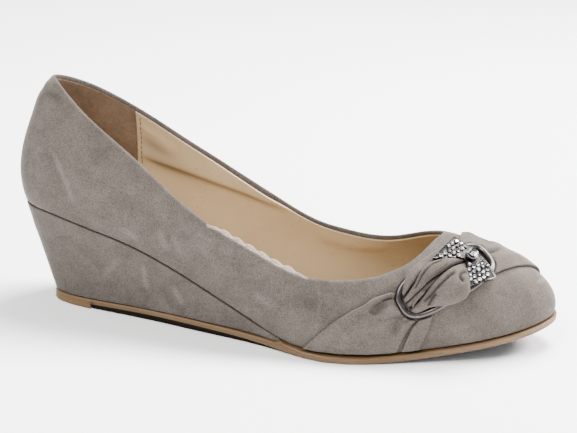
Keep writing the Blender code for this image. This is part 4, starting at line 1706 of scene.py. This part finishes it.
@dataclass
class BowPlate:
    """Bow plate with a raised rim and a sunk floor, set with rows of small stones.

    Places on the plate and the sizes of stones and cups are in millimetres.
    """

    node: bpy.types.Object
    frame: BuckleFrame
    finishes: Finishes
    rim: float = 0.42 * MM
    sink: float = 0.55 * MM
    skirt: float = 0.9 * MM
    edge_angle: float = 35
    edge_round: float = 0.14 * MM
    looks_up: float = 0.6
    waist_aside: float = 2.2
    throat_stretch: float = 1.34
    toe_stretch: float = 1.06
    stone_sides: int = 8
    stone_radius: float = 0.93
    stone_height: float = 1.0
    stone_lift: float = 0.2
    crown_inset: float = 0.42
    crown_fall: float = 0.45
    cup_sides: int = 10
    cup_wall: float = 0.14
    cup_height: float = 0.55
    cup_sink: float = 0.2
    rows: range = range(-8, 9)
    columns: range = range(-3, 14)
    pitch: float = 2.3
    row_pitch: float = 0.86
    offset: tuple[float, float] = (0.4, 0.9)
    rim_clear: float = 0.1
    centre: tuple[float, float] = (13.7, 1.8)
    centre_clear: float = 3.6

    def plate(self) -> bpy.types.Object:
        """Stretch the plate, sink its floor inside its rim and round the edges.

        Returns:
            The plate.
        """
        body = copy_of_node(self.node, "bow_plate")
        up = self.frame.up
        across = np.array(self.frame.across)
        points = read_vectors(body.data.vertices, "co")
        aside = (points - np.array(self.frame.middle)) @ across - self.waist_aside * MM
        stretch = np.where(aside > 0, self.throat_stretch, self.toe_stretch) - 1
        move_vertices(body, points + (aside * stretch)[:, None] * across)
        body.data.materials.append(self.finishes.gunmetal)
        body.data.materials.append(self.finishes.silver)
        with Bench(body) as bench:
            bench.select(Pick.FACE, lambda face: face.normal.dot(up) < -self.looks_up)
            bpy.ops.transform.translate(value=up * -self.skirt)
            bench.select(Pick.FACE, lambda face: face.normal.dot(up) > self.looks_up)
            body.active_material_index = 1
            bpy.ops.object.material_slot_assign()
            bpy.ops.mesh.inset(thickness=self.rim, depth=-self.sink)
            body.active_material_index = 0
            bpy.ops.object.material_slot_assign()
        round_edges(body, self.edge_angle, self.edge_round)
        return body

    def stone(self) -> bpy.types.Object:
        """Model one small stone: a table, a slanted crown and a short girdle.

        Returns:
            The stone, standing on Z at the origin.
        """
        radius, height = self.stone_radius, self.stone_height
        body = add_primitive(bpy.ops.mesh.primitive_cylinder_add, "stone", vertices=self.stone_sides,
                             radius=radius * MM, depth=height * MM)
        with Bench(body) as bench:
            bench.select(Pick.FACE, lambda face: face.normal.z > 0.9)
            bpy.ops.mesh.inset(thickness=radius * self.crown_inset * MM, depth=0)
            bench.select(Pick.VERTEX, lambda vertex: vertex.co.z > height * MM / 2 * 0.9
                         and vertex.co.xy.length > radius * 0.8 * MM)
            bpy.ops.transform.translate(value=(0, 0, -height * self.crown_fall * MM))
        return body

    def cup(self) -> bpy.types.Object:
        """Model the little collar that holds one stone.

        Returns:
            The collar, standing on Z at the origin.
        """
        body = add_primitive(bpy.ops.mesh.primitive_cylinder_add, "cup", vertices=self.cup_sides,
                             radius=(self.stone_radius + self.cup_wall) * MM, depth=self.cup_height * MM)
        with Bench(body) as bench:
            bench.select(Pick.FACE, lambda face: face.normal.z > 0.9)
            bpy.ops.mesh.inset(thickness=self.cup_wall * MM, depth=-self.cup_sink * MM)
        return body

    def spots(self, plate: Seat) -> list[tuple[float, float]]:
        """Lay out the small stones in staggered rows that keep inside the plate's rim.

        Args:
            plate: The plate's surface.

        Returns:
            Their places along and across the ring.
        """
        found = []
        reach = self.stone_radius + self.rim_clear
        ring = [(math.cos(k * math.pi / 4) * reach, math.sin(k * math.pi / 4) * reach) for k in range(8)]
        for row in self.rows:
            for column in self.columns:
                forward = column * self.pitch + (row % 2) * self.pitch / 2 + self.offset[0]
                aside = row * self.pitch * self.row_pitch + self.offset[1]
                if math.hypot(forward - self.centre[0], aside - self.centre[1]) < self.centre_clear:
                    continue
                if all(self.frame.below(plate, forward + x, aside + y) for x, y in [(0, 0), *ring]):
                    found.append((forward, aside))
        return found

    def placings(self, plate: Seat, spots: Iterable[tuple[float, float]], lift: float) -> list[Matrix]:
        """Stand small pieces on the plate.

        Args:
            plate: The plate's surface.
            spots: Their places along and across the ring.
            lift: Height of their middles over the plate.

        Returns:
            The turn and place of each piece.
        """
        placings = []
        for forward, aside in spots:
            place, normal = self.frame.below(plate, forward, aside)
            turn = Vector((0, 0, 1)).rotation_difference(normal).to_matrix().to_4x4()
            placings.append(Matrix.Translation(place + normal * lift * MM) @ turn)
        return placings

    def dress(self) -> None:
        """Build the plate, its stones and their collars, and hand them over."""
        plate = self.plate()
        seat = Seat(plate)
        spots = self.spots(seat)
        LOG.info("small stones: %d", len(spots))
        seats = self.placings(seat, spots, self.cup_height / 2)
        cups = joined_copies(self.cup(), "stone_collars", seats)
        seats = self.placings(seat, spots, self.stone_height / 2 + self.stone_lift)
        stones = joined_copies(self.stone(), "small_stones", seats)
        glint_facets(stones, SEED)
        hand_over(plate, self.finishes.silver, ["buckle_bow"], smooth_degrees=30)
        hand_over(cups, self.finishes.silver, smooth_degrees=30)
        hand_over(stones, self.finishes.crystal, smooth_degrees=5)


def glint_facets(body: bpy.types.Object, seed: int) -> None:
    """Give every facet its own painted glint, a share of light put in its colour.

    Args:
        body: A mesh of facets.
        seed: Start of the random draws.
    """
    draw = random.Random(seed)
    values = [draw.choice(GLINT_LEVELS) for _ in body.data.polygons]
    attribute = body.data.attributes.new("glint", "FLOAT", "FACE")
    attribute.data.foreach_set("value", values)


@dataclass
class CentreStone:
    """The bow's round middle stone in its collar."""

    setting: bpy.types.Object
    stone: bpy.types.Object
    finishes: Finishes
    collar_angle: float = 30
    collar_round: float = 0.15 * MM

    def dress(self) -> None:
        """Round the collar, keep the stone's facets and hand both over."""
        collar = copy_of_node(self.setting, "centre_collar")
        round_edges(collar, self.collar_angle, self.collar_round)
        hand_over(collar, self.finishes.silver, ["stone_setting"], smooth_degrees=40)
        gem = copy_of_node(self.stone, "centre_gem")
        glint_facets(gem, SEED + 1)
        hand_over(gem, self.finishes.crystal, ["centre_stone"], smooth_degrees=5)


@dataclass(frozen=True)
class Light:
    """A soft square light, by its place and size in metres and its power in watts."""

    name: str
    place: Place
    size: float
    power: float
    colour: Colour


LIGHTS = [
    Light("key", (-0.30, -0.85, 1.15), 0.6, 29, (1.0, 0.99, 0.975)),
    Light("top", (0.32, 0.50, 1.20), 0.6, 72, (1.0, 0.985, 0.98)),
    Light("toe_side", (1.05, 0.45, 0.85), 0.45, 52, (1.0, 0.925, 0.915)),
]


@dataclass
class Studio:
    """Floor, lights and the camera at the photograph's angle."""

    finishes: Finishes
    target: Place = (98.56 * MM, 0.0, 45 * MM)
    azimuth: float = 9.68
    elevation: float = 18.8
    roll: float = 2.76
    distance: float = 660.74 * MM
    lens: float = 89.41
    shift: tuple[float, float] = (0.0041, 0.0164)
    sensor: float = 36
    near: float = 0.01
    floor_size: float = 6.0
    surroundings: float = 0.91

    def camera(self) -> None:
        """Make the camera, rolled as the photograph is."""
        turn, lift, roll = (math.radians(angle) for angle in (self.azimuth, self.elevation, self.roll))
        back = Vector((math.sin(turn) * math.cos(lift), -math.cos(turn) * math.cos(lift), math.sin(lift)))
        right = (-back).cross(Vector((0, 0, 1))).normalized()
        up = right.cross(-back)
        rolled_right = right * math.cos(roll) + up * math.sin(roll)
        rolled_up = up * math.cos(roll) - right * math.sin(roll)
        data = bpy.data.cameras.new("photo_camera")
        data.lens = self.lens
        data.sensor_width = self.sensor
        data.shift_x, data.shift_y = self.shift
        data.clip_start = self.near
        camera = bpy.data.objects.new("photo_camera", data)
        bpy.context.scene.collection.objects.link(camera)
        place = Vector(self.target) + back * self.distance
        turned = Matrix((rolled_right, rolled_up, back)).transposed().to_4x4()
        camera.matrix_world = Matrix.Translation(place) @ turned
        bpy.context.scene.camera = camera

    def add_light(self, light: Light) -> None:
        """Add a light that looks at the shoe.

        Args:
            light: The light.
        """
        data = bpy.data.lights.new(light.name, "AREA")
        data.size = light.size
        data.energy = light.power
        data.color = light.colour
        body = bpy.data.objects.new(light.name, data)
        bpy.context.scene.collection.objects.link(body)
        place = Vector(light.place)
        turn = (Vector(self.target) - place).to_track_quat("-Z", "Y").to_matrix().to_4x4()
        body.matrix_world = Matrix.Translation(place) @ turn

    def build(self) -> None:
        """Set up the floor, the lights, the pale surroundings and the camera."""
        floor = add_primitive(bpy.ops.mesh.primitive_plane_add, "floor", size=self.floor_size)
        floor.data.materials.append(self.finishes.floor)
        for light in LIGHTS:
            self.add_light(light)
        world = bpy.data.worlds.new("pale_surroundings")
        world.use_nodes = True
        world.node_tree.nodes["Background"].inputs["Color"].default_value = (1, 1, 1, 1)
        world.node_tree.nodes["Background"].inputs["Strength"].default_value = self.surroundings
        bpy.context.scene.world = world
        self.camera()


def insole_height(seat: Seat, along: float) -> float:
    """Height of the insole's middle at a distance along the shoe."""
    found = seat.along(Vector((along, 0, LOOK_DOWN_FROM)), Vector((0, 0, -1)))
    return found[0].z if found else 0.0


def main() -> None:
    """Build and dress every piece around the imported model."""
    logging.basicConfig(level=logging.INFO, format="%(message)s")
    for leftover in list(bpy.data.objects):
        bpy.data.objects.remove(leftover)
    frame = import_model()
    nodes = frame["nodes"]
    finishes = Finishes()
    Studio(finishes).build()
    upper_seat = Seat(nodes["upper"])
    insole_seat = Seat(nodes["insole"])

    def floor(along: float) -> float:
        """Height of the insole under a place."""
        return insole_height(insole_seat, along)

    SoleUnit(nodes["outsole"], finishes).dress()
    Wedge(nodes["wedge"], finishes).dress()
    Upper(nodes["upper"], finishes).dress()
    Insole(nodes["insole"], finishes).dress()
    lining = InnerSkin(nodes["upper"], "quarter_lining", Keep.FRONT, cut=20.5 * MM, thickness=1.4 * MM,
                       lift=0.7 * MM, material=finishes.lining, creases=LINING_CREASES).dress(floor)
    InnerSkin(nodes["upper"], "heel_grip", Keep.REAR, cut=25 * MM, thickness=1.0 * MM,
              lift=0.3 * MM, material=finishes.grip).dress(floor)
    GripSeam(lining, finishes).dress()
    PinkedEdge(upper_seat, finishes.pinked).dress()
    Drape(nodes["drape_outer"], "gathered_drape", OUTER_DRAPE_FOLDS, finishes).dress()
    Drape(nodes["strap_tail"], "strap_end", TAIL_FOLDS, finishes).dress()
    Drape(nodes["drape_inner"], "pleated_drape", INNER_DRAPE_FOLDS, finishes).dress()
    buckle = BuckleFrame(nodes["buckle_ring"], upper_seat)
    Twist(buckle, finishes).dress()
    Ring(nodes["buckle_ring"], finishes).dress()
    BowPlate(nodes["buckle_bow"], buckle, finishes).dress()
    CentreStone(nodes["stone_setting"], nodes["centre_stone"], finishes).dress()


if __name__ == "__main__":
    main()
